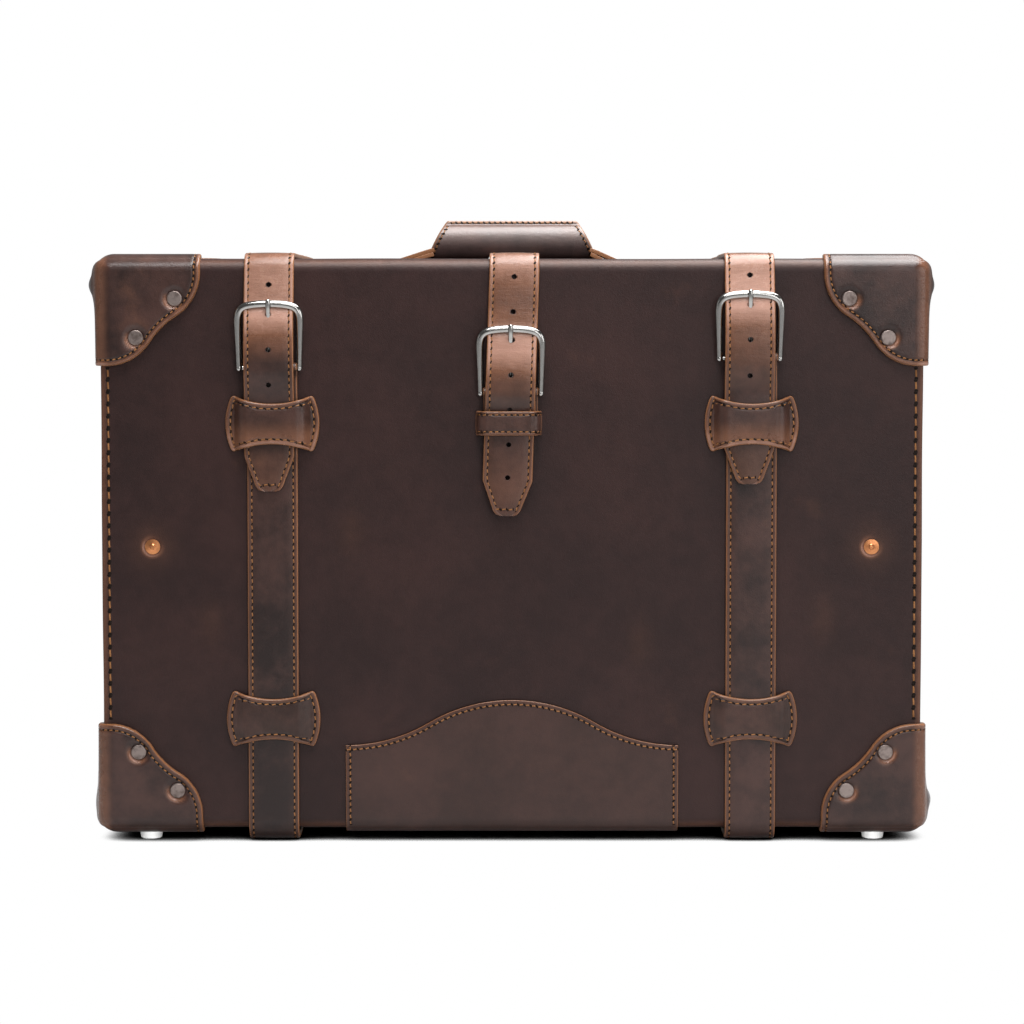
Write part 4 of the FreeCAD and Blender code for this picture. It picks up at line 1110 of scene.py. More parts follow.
@dataclass
class CornerCaps:
    """The scalloped caps of one half, each of three stitched flaps folded round a corner."""

    half: Half
    cut: Cut = Cut(3.3, 1.5, 4.3, groove=0.5)
    across: float = 75.4
    upright: float = 80.0
    deep: float = 70.0
    straight: float = 6.0
    fuller: float = 5.0
    lobe: float = 38.0
    scallop: float = 66.0
    pitch: float = 4.4
    rivets: tuple = ((56.6, 30.0), (27.6, 59.0))
    head: float = 5.2
    puff: float = 2.3
    dimple: float = 5.0
    # strength of the painted highlight below each rivet
    crescent: float = 1.8
    # painted highlight along the lip of the top caps
    top_lip: float = 0.8
    flare: float = 2.2
    lump_up: float = 20.0
    lump_back: float = 26.0
    fold_fade: float = 9.0
    lump: dict = field(default_factory=lambda: {(-1, 1): 6.0, (1, 1): 5.2, (-1, -1): 3.0, (1, -1): 5.6})

    def ogee(self, across: float, upright: float) -> Array:
        """The free edge of a flap: two convex lobes and a concave scallop tangent to both."""
        first = np.array([across - self.lobe, self.straight + self.fuller])
        second = np.array([self.straight, upright - self.lobe])
        gap = np.linalg.norm(second - first)
        out = np.array([second[1] - first[1], first[0] - second[0]]) / gap
        rise = math.sqrt((self.lobe + self.scallop) ** 2 - gap ** 2 / 4)
        hollow = (first + second) / 2 + out * rise
        toward = [math.degrees(math.atan2(*(hollow - c)[::-1])) for c in (first, second)]
        lobes = [arc(first, self.lobe, 0.0, toward[0], 16), arc(second, self.lobe, toward[1], 90.0, 16)]
        dip = arc(hollow, self.scallop, toward[0] + 180.0, toward[1] + 180.0, 22)
        start = np.linspace((across, 0.0), (across, self.straight + self.fuller), 9)
        end = np.linspace((self.straight, upright), (0.0, upright), 7)
        return np.concatenate([start[:-1], lobes[0][:-1], dip[:-1], lobes[1][:-1], end])

    def outline(self, across: float, upright: float) -> tuple[Array, Array]:
        """The whole outline of a flap and where it is free: along one fold, the free edge, the other fold."""
        near = (0.0, 16.0, 1.1)
        band = self.cut.profile()[0][0] + 2.0
        fold = spread(0.0, across - band, 4.0, near)
        edge = self.ogee(across, upright)
        back = spread(0.0, upright - band, 4.0, near)[::-1]
        outline = np.concatenate([points_of(fold, 0.0), edge, points_of(0.0, back)[:-1]])
        free = np.zeros(len(outline))
        free[len(fold):len(fold) + len(edge)] = 1.0
        return outline, free

    def relief(self, flat: Array) -> Array:
        """The face stands a little proud, and drops to each rivet over a smooth slope round its head."""
        away = [np.linalg.norm(flat - np.array(at), axis=-1) - self.head for at in self.rivets]
        return self.puff * np.prod([ease(far / self.dimple) for far in away], axis=0)

    def folds(self, flat: Array) -> Array:
        """Wear that fades out over some millimetres from the folds, most along the side."""
        return np.maximum(0.85 * ease(1.0 - flat[..., 0] / 9.0), 0.12 * ease(1.0 - flat[..., 1] / 8.0))

    def lay(self, flap: Flap, x_side: int, z_side: int) -> Place:
        """How the flat places of a flap, measured in from the corner of the case, lie on it."""
        corner = np.array([x_side * CASE.half_width, CASE.depth, CASE.high if z_side > 0 else CASE.low])

        def place(flat: Array, tall: Array) -> Laid:
            """Points at a height over the case and their outward directions."""
            return CASE.place(corner - flat @ np.array(flap.value) * (x_side, 1, z_side), tall, self.half)
        return place

    def flaps(self, x_side: int, z_side: int) -> list[tuple[Place, float, float, Callable, Callable]]:
        """For each flap: how its flat places lie on the case, its two lengths, its relief and its wear, which
        on the face flap holds painted highlights below the rivets.
        """
        def gathered(flat: Array) -> Array:
            """The end flap stands off towards the corner, with a bell-shaped lump of folded leather there."""
            back, up = np.moveaxis(flat, -1, 0)
            bell = np.exp(-((up - self.lump_up) / 10.0) ** 2 - ((back - self.lump_back) / 18.0) ** 2)
            stand = self.flare * ease(1.0 - up / self.upright) * ease(1.0 - back / self.deep)
            return self.lump[x_side, z_side] * bell + stand

        def pulled(flat: Array) -> Array:
            """The face flap is worn along its folds, and has a painted highlight below each rivet, where the
            dimpled leather would catch the light.
            """
            worn = self.folds(flat)
            for at in self.rivets:
                across, up = np.moveaxis(flat - np.array(at), -1, 0)
                far = np.hypot(across, up) + 1e-6
                below = np.clip((0.8 * z_side * up - 0.5 * across) / far + 0.1, 0.0, 1.0)
                worn = worn + self.crescent * below * rivet_ring(far)
            return worn

        face, top, end = (self.lay(flap, x_side, z_side) for flap in Flap)
        return [(face, self.across, self.upright, self.relief, pulled),
                (top, self.across, self.deep, no_relief, self.folds),
                (end, self.deep, self.upright, gathered, self.folds)]

    def settled(self, relief: Callable[[Array], Array]) -> Callable[[Array], Array]:
        """A flap's relief, let down to nothing at the folds so that the flaps meet."""
        return lambda flat: relief(flat) * ease(np.min(flat, axis=-1) / self.fold_fade)

    def cap(self, x_side: int, z_side: int) -> list[Patch]:
        """One cap: a ray grid for each of its flaps, meeting along the folds."""
        made = []
        # the top caps get the painted lip highlight
        cut = replace(self.cut, lip=self.top_lip) if z_side > 0 else self.cut
        for place, across, upright, relief, worn in self.flaps(x_side, z_side):
            outline, free = self.outline(across, upright)
            focus = (0.36 * across, 0.36 * upright)
            made += star_patches(outline, free, focus, cut, place, 24, self.settled(relief), worn)
        return made

    def stitch(self, stitching: Stitching, x_side: int, z_side: int) -> None:
        """Add the rows that follow the free edges of one cap."""
        for place, across, upright, relief, _ in self.flaps(x_side, z_side):
            line = inset_line(softened(self.ogee(across, upright), 1.0), self.cut.stitch_in)
            line = line[np.min(line, axis=-1) > 2.0]
            tall = self.cut.thick - self.cut.groove + self.settled(relief)(line)
            stitching.row(*place(line, tall), self.pitch)

    def build(self, shop: Workshop) -> None:
        """Make the four caps of this half and their stitching."""
        name = self.half.body
        stitching = Stitching(name + "_cap_stitching")
        for end_name, z_side in ENDS.items():
            for x_name, x_side in SIDES.items():
                node = f"{name}_cap_{end_name}_{x_name}"
                cap = shop.make(node + "_leather", self.cap(x_side, z_side), Slot.STRAP)
                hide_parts(node)
                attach(cap, name)
                self.stitch(stitching, x_side, z_side)
        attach(stitching.build(shop), name)


@dataclass
class Apron:
    """The scalloped leather at the foot of the face, turned under the bottom."""

    thick: float = 2.5
    bevel: float = 0.9
    half: float = 124.5
    side: float = 64.0
    crown: float = 98.0
    under: float = 45.0
    stitch_in: float = 3.3
    pitch: float = 4.7

    def rise(self, x: Array) -> Array:
        """Height of the upper edge: on each side two equal arcs, hollow outside and full inside."""
        middle = self.half / 2
        half_rise = (self.crown - self.side) / 2
        radius = (middle ** 2 + half_rise ** 2) / (2 * half_rise)
        off = np.minimum(np.abs(x), self.half)
        inside = self.crown - radius + np.sqrt(radius ** 2 - np.minimum(off, middle) ** 2)
        outside = self.side + radius - np.sqrt(radius ** 2 - np.minimum(self.half - off, middle) ** 2)
        return np.where(off < middle, inside, outside)

    def surface(self) -> list[Patch]:
        """A grid of columns across the case by rows from under the bottom up to the upper edge."""
        inset, height = cut_edge(self.thick, self.bevel)
        edge_x = self.half - inset
        x = np.concatenate([-edge_x[::-1], spread(-self.half + 1.5, self.half - 1.5, 3.0), edge_x])
        tall_x = np.concatenate([height[::-1], np.full(len(x) - 2 * len(height), self.thick), height])
        low = spread(0.0, self.under, 5.0, (self.under - 9.0, self.under, 1.0))
        share = np.concatenate([spread(0.0, 1.0, 0.04, (0.0, 0.13, 0.013))[1:-1], np.ones(len(inset))])
        drop = np.concatenate([np.zeros(len(share) - len(inset)), inset])
        climb = self.rise(x)[None] * share[:, None] - drop[:, None]
        climb = np.minimum(climb, self.rise(x)[None] - inset[0] * (drop[:, None] == 0.0))
        sharp = joined((x[None], (CASE.depth - self.under + low)[:, None], CASE.low),
                       (x[None], CASE.depth, CASE.low + climb))
        _, deep, up = np.moveaxis(sharp, -1, 0)
        tall_run = np.concatenate([np.full(len(sharp) - len(height), self.thick), height])
        tall = np.minimum(tall_run[:, None], tall_x[None])
        points, facing = CASE.place(sharp, tall, Half.LID)
        pattern = points_of(x[None], up - deep)
        raw = (tall < self.thick - 0.25 * self.bevel).astype(float)
        to_edge = np.minimum(self.half - np.abs(sharp[..., 0]), CASE.low + self.rise(x)[None] - up)
        rub = 0.05 + 0.3 * ease(1.0 - to_edge / 4.0)
        lower, _ = CASE.skin(sharp, Half.LID)
        return [Patch(points, facing, pattern, raw, rub), Patch(lower, -facing, pattern)]

    def build(self, shop: Workshop) -> None:
        """Make the apron and its stitched edge."""
        made = shop.make("front_apron_leather", self.surface(), Slot.STRAP, finish=APRON_FINISH)
        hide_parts("front_apron")
        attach(made, "lid")
        x = np.linspace(-self.half, self.half, 300)
        edge = points_of(x, self.rise(x))
        start = np.linspace((-self.half, 4.0), (-self.half, self.side), 20)[:-1]
        edge = np.concatenate([start, edge, (start * [-1.0, 1.0])[::-1]])
        line = softened(inset_line(edge, -self.stitch_in), 1.5)
        sharp = points_of(line[:, 0], CASE.depth, CASE.low + line[:, 1])
        stitching = Stitching("apron_stitching")
        stitching.row(*CASE.place(sharp, np.full(len(line), self.thick), Half.LID), self.pitch)
        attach(stitching.build(shop), "lid")


@dataclass
class Keepers:
    """Stitched leather loops that hold the straps against the case."""

    # lip: painted highlight along the keeper's edge
    cut: Cut = Cut(3.0, 1.5, 3.8, wear=0.08, lip=0.2)
    # shine: wear and painted sheen, given to the upper lid keepers
    shine: float = 0.0
    worn_shine: float = 0.8
    half: float = 35.0
    tall: float = 21.5
    waist: float = 15.0
    corner: float = 30.0
    strap_edge: float = 19.6
    foot: float = 27.5
    pitch: float = 5.4
    one_strap: float = 4.1
    two_straps: float = 8.4

    def bow_tie(self) -> Array:
        """Two drawn-in long edges and two full ends, each an arc through three points."""
        sag = self.tall - self.waist
        long_radius = (self.corner ** 2 + sag ** 2) / (2 * sag)
        swing = math.degrees(math.asin(self.corner / long_radius))
        bulge = self.half - self.corner
        end_radius = (self.tall ** 2 + bulge ** 2) / (2 * bulge)
        turn = math.degrees(math.asin(self.tall / end_radius))
        right = arc((self.half - end_radius, 0.0), end_radius, -turn, turn, 22)
        upper = arc((0.0, self.waist + long_radius), long_radius, 270.0 + swing, 270.0 - swing, 34)
        ring = np.concatenate([right[:-1], upper[:-1], -right[:-1], -upper[:-1]])
        return softened(ring, 2.2, 1.6, closed=True)

    def oblong(self, half: float, tall: float) -> Array:
        """A plain patch with small round corners."""
        corners = np.array([(half, -tall), (half, tall), (-half, tall), (-half, -tall)])
        return softened(corners, 3.0, 1.2, closed=True)

    def over(self, half: Half, x: float, up: float, stack: float) -> Place:
        """How a keeper's flat places lie over a strap: a bridge with soft shoulders beside it."""
        def place(flat: Array, height: Array) -> Laid:
            """Points at a height over the bridge, square to its slope."""
            run = (self.foot - np.abs(flat[..., 0])) / (self.foot - self.strap_edge)
            lift = stack * ease(run)
            held = np.clip(run, 0.0, 1.0)
            slope = -np.sign(flat[..., 0]) * stack * 6 * held * (1 - held) / (self.foot - self.strap_edge)
            facing = unit(points_of(-slope, float(half.value), 0.0))
            base = points_of(x + flat[..., 0], half.value * (CASE.depth + lift), CASE.low + up + flat[..., 1])
            return base + facing * height[..., None], facing
        return place

    def crown(self, flat: Array) -> Array:
        """A slight fullness along the middle."""
        return 0.5 * ease(1.0 - np.abs(flat[..., 1]) / self.tall)

    def polish(self, flat: Array) -> Array:
        """Wear and painted sheen, growing from the upper edge to below the middle."""
        return self.shine * ease((5.0 - flat[..., 1]) / 18.0)

    def build_one(self, shop: Workshop, name: str, outline: Array, place: Place) -> bpy.types.Object:
        """Make the leather of one keeper."""
        free = np.ones(len(outline))
        patches = star_patches(outline, free, (0.0, 0.0), self.cut, place, 16, self.crown, self.polish)
        return shop.make(name, patches, Slot.STRAP)

    def build(self, shop: Workshop, straps: "Straps") -> None:
        """Make every keeper of both halves and their stitching."""
        bow = self.bow_tie()
        row = inset_line(np.vstack([bow, bow[:1]]), self.cut.stitch_in)
        height = self.cut.thick - self.cut.groove + 0.1 + self.crown(row)
        stitching = {half: Stitching(half.body + "_keeper_stitching") for half in Half}
        levels = straps.keepers_up.items()
        for (side_name, side), (level, up), half in product(SIDES.items(), levels, Half):
            on_lid = half is Half.LID
            worn = on_lid and level == "upper"
            place = self.over(half, side * straps.belt_x, up, self.two_straps if worn else self.one_strap)
            piece = f"{half.body}_{level}_{side_name}_bow_keeper"
            made = (replace(self, shine=self.worn_shine) if worn else self).build_one(shop, piece, bow, place)
            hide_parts(f"keeper_{level}_{side_name}" if on_lid else f"keepers_back_{side_name}")
            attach(made, half.body)
            stitching[half].row(*place(row, height), self.pitch)
        half, tall = straps.centre_keeper_half, straps.centre_keeper_tall
        narrow = replace(self, strap_edge=18.2, foot=22.8, cut=replace(self.cut, stitch_in=2.8, bevel=1.2))
        place = narrow.over(Half.LID, straps.centre_keeper_x, straps.centre_keeper_up, self.two_straps)
        made = narrow.build_one(shop, "centre_strap_keeper", self.oblong(half, tall), place)
        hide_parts("centre_keeper")
        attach(made, "lid")
        for level in (-1.0, 1.0):
            line = points_of(np.linspace(3.0 - half, half - 3.0, 60), level * (tall - narrow.cut.stitch_in))
            tall_at = self.cut.thick - self.cut.groove + 0.05 + narrow.crown(line)
            stitching[Half.LID].row(*place(line, tall_at), 4.6)
        for half_of, rows in stitching.items():
            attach(rows.build(shop), half_of.body)


@dataclass(frozen=True)
class BuckleSeat:
    """Where one buckle sits, and the strap that it holds."""

    x: float
    strap_x: float
    bar: float
    tip: float
    first_hole: float
    hole_drops: tuple = (0.0, 22.1, 48.2, 74.3, 100.4)
    lean: float = 0.0
    settle: float = 25.0
    # wear by height over the bar; the values past 1 are painted highlights where the tongue turns over the
    # top edge and bends out over the buckle, besides real wear
    wear: tuple = ((-90.0, 0.35), (-66.0, 0.2), (-50.0, 0.0), (4.0, 0.05), (22.0, 0.8), (37.0, 2.0),
                   (50.0, 1.4), (70.0, 1.5), (84.0, 1.05))


@dataclass
class Straps:
    """The two belts round the case, the three tongues and what the buckles hang on."""

    thick: float = 3.8
    play: float = 0.3
    belt_x: float = 178.5
    belt_half: float = 18.75
    tongue_half: float = 18.5
    fold: float = 6.0
    slack: float = 3.9
    top_wear: float = 0.4
    joint_y: float = -60.0
    top_bend: tuple = (6.0, -22.0)
    edge_bend: tuple = ((-90.0, 0.0), (-102.0, -10.0))
    pitch: float = 5.0
    hole_shade: float = 1.85
    tip_long: float = 26.0
    tip_half: float = 9.5
    tip_round: float = 4.5
    loop_half: float = 18.6
    loop_slot: float = 3.4
    loop_thick: float = 1.9
    bar_out: float = 4.4
    bar_radius: float = 2.4
    anchor_end: float = 85.0
    chape_down: float = 30.0
    under_bar: float = 6.0
    centre_keeper_x: float = -2.4
    centre_keeper_half: float = 24.5
    centre_keeper_tall: float = 9.0
    centre_keeper_up: float = 305.5
    keepers_up: dict = field(default_factory=lambda: {"lower": 84.0, "upper": 305.0})
    path: tuple = ((4.2, 49.0), (8.8, 37.0), (10.2, 12.0), (9.6, -3.0))
    settled: float = 4.3
    seats: dict = field(default_factory=lambda: {
        "left": BuckleSeat(-180.5, -180.5, 346.4, 254.8, 408.3),
        "centre": BuckleSeat(
            -1.0, 1.8, 327.8, 236.5, 414.2, (0.0, 26.0, 47.0, 72.8, 98.8, 124.6, 149.2),
            lean=1.9, settle=14.0,
            # painted highlights as well as wear, as above
            wear=((-90.0, 0.15), (-72.0, 0.35), (-36.0, 0.1), (-10.0, 0.05), (8.0, 0.45), (31.0, 2.0),
                  (48.0, 1.2), (66.0, 0.6), (78.0, 0.85), (92.0, 1.4))),
        "right": BuckleSeat(
            176.5, 176.5, 353.6, 260.2, 415.4, (0.0, 22.0, 47.8, 74.5, 100.6),
            # painted highlights as well as wear, as above
            wear=((-90.0, 0.35), (-66.0, 0.2), (-50.0, 0.0), (-24.0, 0.05), (0.0, 0.45), (22.0, 0.85),
                  (37.0, 2.0), (66.0, 1.7), (84.0, 1.2))),
    })

    def run(self, half: Half, x: float, *legs: tuple) -> Laid:
        """A strap's inner face over the case, from distances from the split and heights of its legs."""
        return CASE.skin(points_of(x, *joined(*legs).T), half)

    def belt_front(self, side: int) -> StrapRun:
        """From the base across the hinge, under the lid and up its face to the buckle."""
        seat = self.seats["left" if side < 0 else "right"]
        end = CASE.low + seat.bar - self.under_bar
        deep = spread(-self.fold, CASE.depth, 4.0, (-self.fold, self.fold, 1.0), FRONT_BEND)
        up = spread(CASE.low, end, 5.0, LOW_BEND)[1:]
        line, facing = self.run(Half.LID, side * self.belt_x, (deep, CASE.low), (CASE.depth, up))
        drop = self.slack * ease((-line[:, 1] - 30.0) / 40.0) * ease(1.0 - (line[:, 2] - CASE.low) / 17.0)
        line = line - points_of(0.0, 0.0, drop)
        width = self.belt_half - (self.belt_half - self.loop_half) * ease((line[:, 2] - end + 16.0) / 12.0)
        return StrapRun(line, facing, width, self.thick)

    def over_base(self, x: float, start_deep: Optional[float]) -> Laid:
        """From the back half over its top and the split to the joint in the tongue.

        Args:
            x: of the strap.
            start_deep: where it begins on the top, or None to begin at the hinge fold under the case.

        Returns:
            Points of the inner face and outward directions.
        """
        top = spread(self.joint_y, CASE.depth, 5.0, (-26.0, 12.0, 1.5), FRONT_BEND)
        legs = []
        if start_deep is None:
            back = spread(CASE.low, CASE.high, 5.0, LOW_BEND, HIGH_BEND)[1:-1]
            legs = [(spread(self.fold, CASE.depth, 5.0, FRONT_BEND), CASE.low), (CASE.depth, back)]
        else:
            top = top[top <= start_deep]
        line, facing = self.run(Half.BASE, x, *legs, (top[::-1], CASE.high))
        lift = self.play * self.forward(line, 4.0, 6.0)
        return line + facing * lift[:, None], facing

    def forward(self, line: Array, start: float, reach: float) -> Array:
        """A smooth step from 0 to 1 along the top of the case, forward from a start over a reach."""
        return ease((start - line[:, 1]) / reach) * (line[:, 2] > CASE.high - 20.0)

    def fading(self, line: Array) -> Array:
        """Wear of a fixed end, which grows along the top up to that of the tongue."""
        return self.top_wear * self.forward(line, 30.0, 90.0)

    def tongue_line(self, seat: BuckleSeat) -> Laid:
        """A tongue's inner face: along the top, over the edge, out over the buckle and down to its tip."""
        deep = spread(-self.joint_y, CASE.depth, 4.0, FRONT_BEND)
        up = spread(*HIGH_BEND)[::-1][1:]
        line, facing = self.run(Half.LID, 0.0, (deep, CASE.high), (CASE.depth, up))
        line = line + facing * self.play
        path = [*self.path, (self.settled + 1.2, 0.7 - 0.75 * seat.settle), (self.settled, -seat.settle)]
        low = np.array([(-CASE.depth - out, CASE.low + seat.bar + rise) for out, rise in path])
        tip = np.array([(low[-1][0], CASE.low + seat.bar - 60.0), (low[-1][0] - 0.7, CASE.low + seat.tip)])
        whole = softened(np.concatenate([line[:, 1:], low, tip]), 5.0, 0.8)
        return strap_line(whole, 1.0)

    def tongue(self, seat: BuckleSeat) -> StrapRun:
        """One tongue with its tapered tip; a leaning one turns about the top edge of the face."""
        line, facing = self.tongue_line(seat)
        to_tip = run_length(line)[-1] - run_length(line)
        blunt = self.tip_half - self.tip_round + round_end(to_tip, self.tip_round)
        widening = np.clip((to_tip - 2.0) / (self.tip_long - 2.0), 0.0, 1.0)
        taper = blunt + (self.tongue_half - self.tip_half) * widening
        turn = math.radians(seat.lean)
        drop = np.clip(CASE.high - CASE.roll - line[:, 2], 0.0, None) * (line[:, 1] < -CASE.depth + 1.0)
        share = ease(drop / 12.0)
        line = line + points_of(seat.strap_x - math.sin(turn) * drop, 0.0, 0.0)
        across = unit(points_of(1.0, 0.0, -math.tan(turn) * share))
        # the wear table includes painted highlights on the tongue
        wear = np.interp(line[:, 2] - CASE.low - seat.bar, *np.array(seat.wear).T)
        wear = self.top_wear + (wear - self.top_wear) * ease((-CASE.depth + 16.0 - line[:, 1]) / 14.0)
        return StrapRun(line, facing, taper, self.thick, across=across, wear=wear)

    def hole_places(self, seat: BuckleSeat, run: StrapRun) -> Array:
        """Where the holes go down the tongue."""
        up = CASE.low + seat.first_hole - np.array(seat.hole_drops)
        face = run.line[run.line[:, 1] < -CASE.depth + 1.0]
        face = face[np.argsort(face[:, 2])]
        return resample(face, up, face[:, 2]) - [0.0, self.thick / 2, 0.0]

    def loop(self, x: float, seat: BuckleSeat, half: float) -> list[Patch]:
        """The end of a strap carried round the buckle's bar, in two parts that leave room for the prong."""
        bar = (-CASE.depth - self.bar_out, CASE.low + seat.bar)
        curl = arc(bar, self.bar_radius + self.loop_thick, 0.0, 200.0, 24)
        start = np.array([(-CASE.depth - 0.1, bar[1] - 14.0), (-CASE.depth - 0.1, bar[1] - 2.0)])
        line, facing = strap_line(softened(np.concatenate([start, curl[1:]]), 2.0, 0.5), -1.0)
        reach = (half - self.loop_slot) / 2
        made = []
        for side in SIDES.values():
            shift = points_of(x + side * (self.loop_slot + reach), 0.0, 0.0)
            made += StrapRun(line + shift, facing, reach, self.loop_thick, bevel=0.6, stitch_in=2.0,
                             crown=0.0, groove=0.0).patches()
        return made

    def bend_top(self, pieces: Sequence[bpy.types.Object], name: str, x: float) -> None:
        """Hand a strap's pieces to bend, with two places along the top at the split."""
        bend(pieces, "base", "strap_top_" + name, *[(x, deep, CASE.high) for deep in self.top_bend])

    def stitched(self, shop: Workshop, name: str, run: StrapRun, start: float, end: float,
                 round_tip: bool = False) -> bpy.types.Object:
        """The two stitched rows of a strap, between two distances along it, joined round its tip if asked."""
        stitching = Stitching(name)
        rows = run.edge_rows(start, end)
        if round_tip:
            (one, up), (other, other_up) = rows
            share = np.linspace(-1.0, 1.0, 9)[1:-1, None]
            tip = one[-1] + (other[-1] - one[-1]) * (share + 1.0) / 2.0
            tip = tip + (run.groove + run.crown * (1.0 - share ** 2)) * up[-1]
            rows = [(np.concatenate([one, tip, other[::-1]]),
                     np.concatenate([up, np.repeat(up[-1:], len(tip), axis=0), other_up[::-1]]))]
        for points, facing in rows:
            stitching.row(points, facing, self.pitch)
        return stitching.build(shop)

    def build_belt(self, shop: Workshop, name: str, side: int) -> None:
        """Make one belt: its front run with the buckle loop, and its back run over the top."""
        run = self.belt_front(side)
        loop = self.loop(side * self.belt_x, self.seats[name], self.loop_half)
        made = shop.make(f"belt_front_{name}_leather", run.patches() + loop, Slot.STRAP)
        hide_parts("belt_front_" + name, "belt_folds")
        rows = self.stitched(shop, f"belt_front_{name}_stitching", run, 20.0, 395.0)
        belt_x, tongue_x = side * self.belt_x, self.seats[name].strap_x
        bend((made, rows), "base", "lid", *[(belt_x, y, CASE.low - 2.0) for y in (self.fold, -self.fold)])
        line, facing = self.over_base(0.0, None)
        share = self.forward(line, 30.0, 60.0)
        line = line + points_of(belt_x + (tongue_x - belt_x) * share, 0.0, 0.0)
        width = self.belt_half - (self.belt_half - self.tongue_half) * share
        run = StrapRun(line, facing, width, self.thick, wear=self.fading(line))
        made = shop.make(f"belt_back_{name}_leather", run.patches(), Slot.STRAP)
        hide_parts("belt_back_" + name, "billet_top_" + name)
        rows = self.stitched(shop, f"belt_back_{name}_stitching", run, 20.0, 1e9)
        self.bend_top((made, rows), name, tongue_x)

    def build_centre(self, shop: Workshop) -> None:
        """Make the centre strap's fixed end and the short strap that holds its buckle."""
        seat = self.seats["centre"]
        line, facing = self.over_base(seat.strap_x, self.anchor_end)
        width = np.maximum(round_end(run_length(line), self.tongue_half), 3.0)
        run = StrapRun(line, facing, width, self.thick, wear=self.fading(line))
        made = shop.make("centre_strap_anchor", run.patches(), Slot.STRAP)
        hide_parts("centre_anchor", "billet_top_centre")
        rows = self.stitched(shop, "centre_anchor_stitching", run, 8.0, 1e9)
        self.bend_top((made, rows), "centre", seat.strap_x)
        up = CASE.low + seat.bar - np.linspace(self.chape_down, self.under_bar, 14)
        line, facing = self.run(Half.LID, seat.x, (CASE.depth, up))
        chape = StrapRun(line, facing, self.loop_half, self.thick)
        loop = self.loop(seat.x, seat, self.loop_half + 1.6)
        made = shop.make("centre_buckle_chape", chape.patches() + loop, Slot.STRAP)
        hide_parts("centre_chape")
        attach(made, "lid")

    def build(self, shop: Workshop) -> None:
        """Make the belts, the tongues with their holes, and the stitching."""
        for name, side in SIDES.items():
            self.build_belt(shop, name, side)
        self.build_centre(shop)
        for name, seat in self.seats.items():
            run = self.tongue(seat)
            made = shop.make(f"tongue_{name}_leather", run.patches(), Slot.STRAP)
            shop.punch(made, self.hole_places(seat, run), self.hole_shade, 4.0)
            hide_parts("billet_front_" + name)
            length = run_length(run.line)[-1]
            rows = self.stitched(shop, f"tongue_{name}_stitching", run, 0.0, length - 4.2, round_tip=True)
            edge = [(seat.strap_x, deep, CASE.high + up) for deep, up in self.edge_bend]
            bend((made, rows), "strap_top_" + name, "strap_front_" + name, *edge)


def tube(line: Array, side: Array, radius: Union[Array, float], count: int = 20) -> Patch:
    """A round bar along a flat line: circles in the plane of the line's normal and a fixed side direction.

    Args:
        line: points of the middle line.
        side: the direction square to the plane that the line lies in.
        radius: of the bar, at each point or everywhere.
        count: points round the bar.

    Returns:
        The bar, with its ends drawn to points.
    """
    along = unit(np.gradient(line, axis=0))
    other = unit(np.cross(along, side))
    turn = np.linspace(0.0, 2.0 * math.pi, count + 1)[:-1]
    rings = np.cos(turn)[:, None] * other[:, None] + np.sin(turn)[:, None] * np.asarray(side)
    size = np.broadcast_to(np.asarray(radius, dtype=float), (len(line),))
    points, facing = capped(line[:, None] + size[:, None, None] * rings, line)
    return Patch(points, facing, points_of(doubled(run_length(line))[:, None], turn), closed=True)


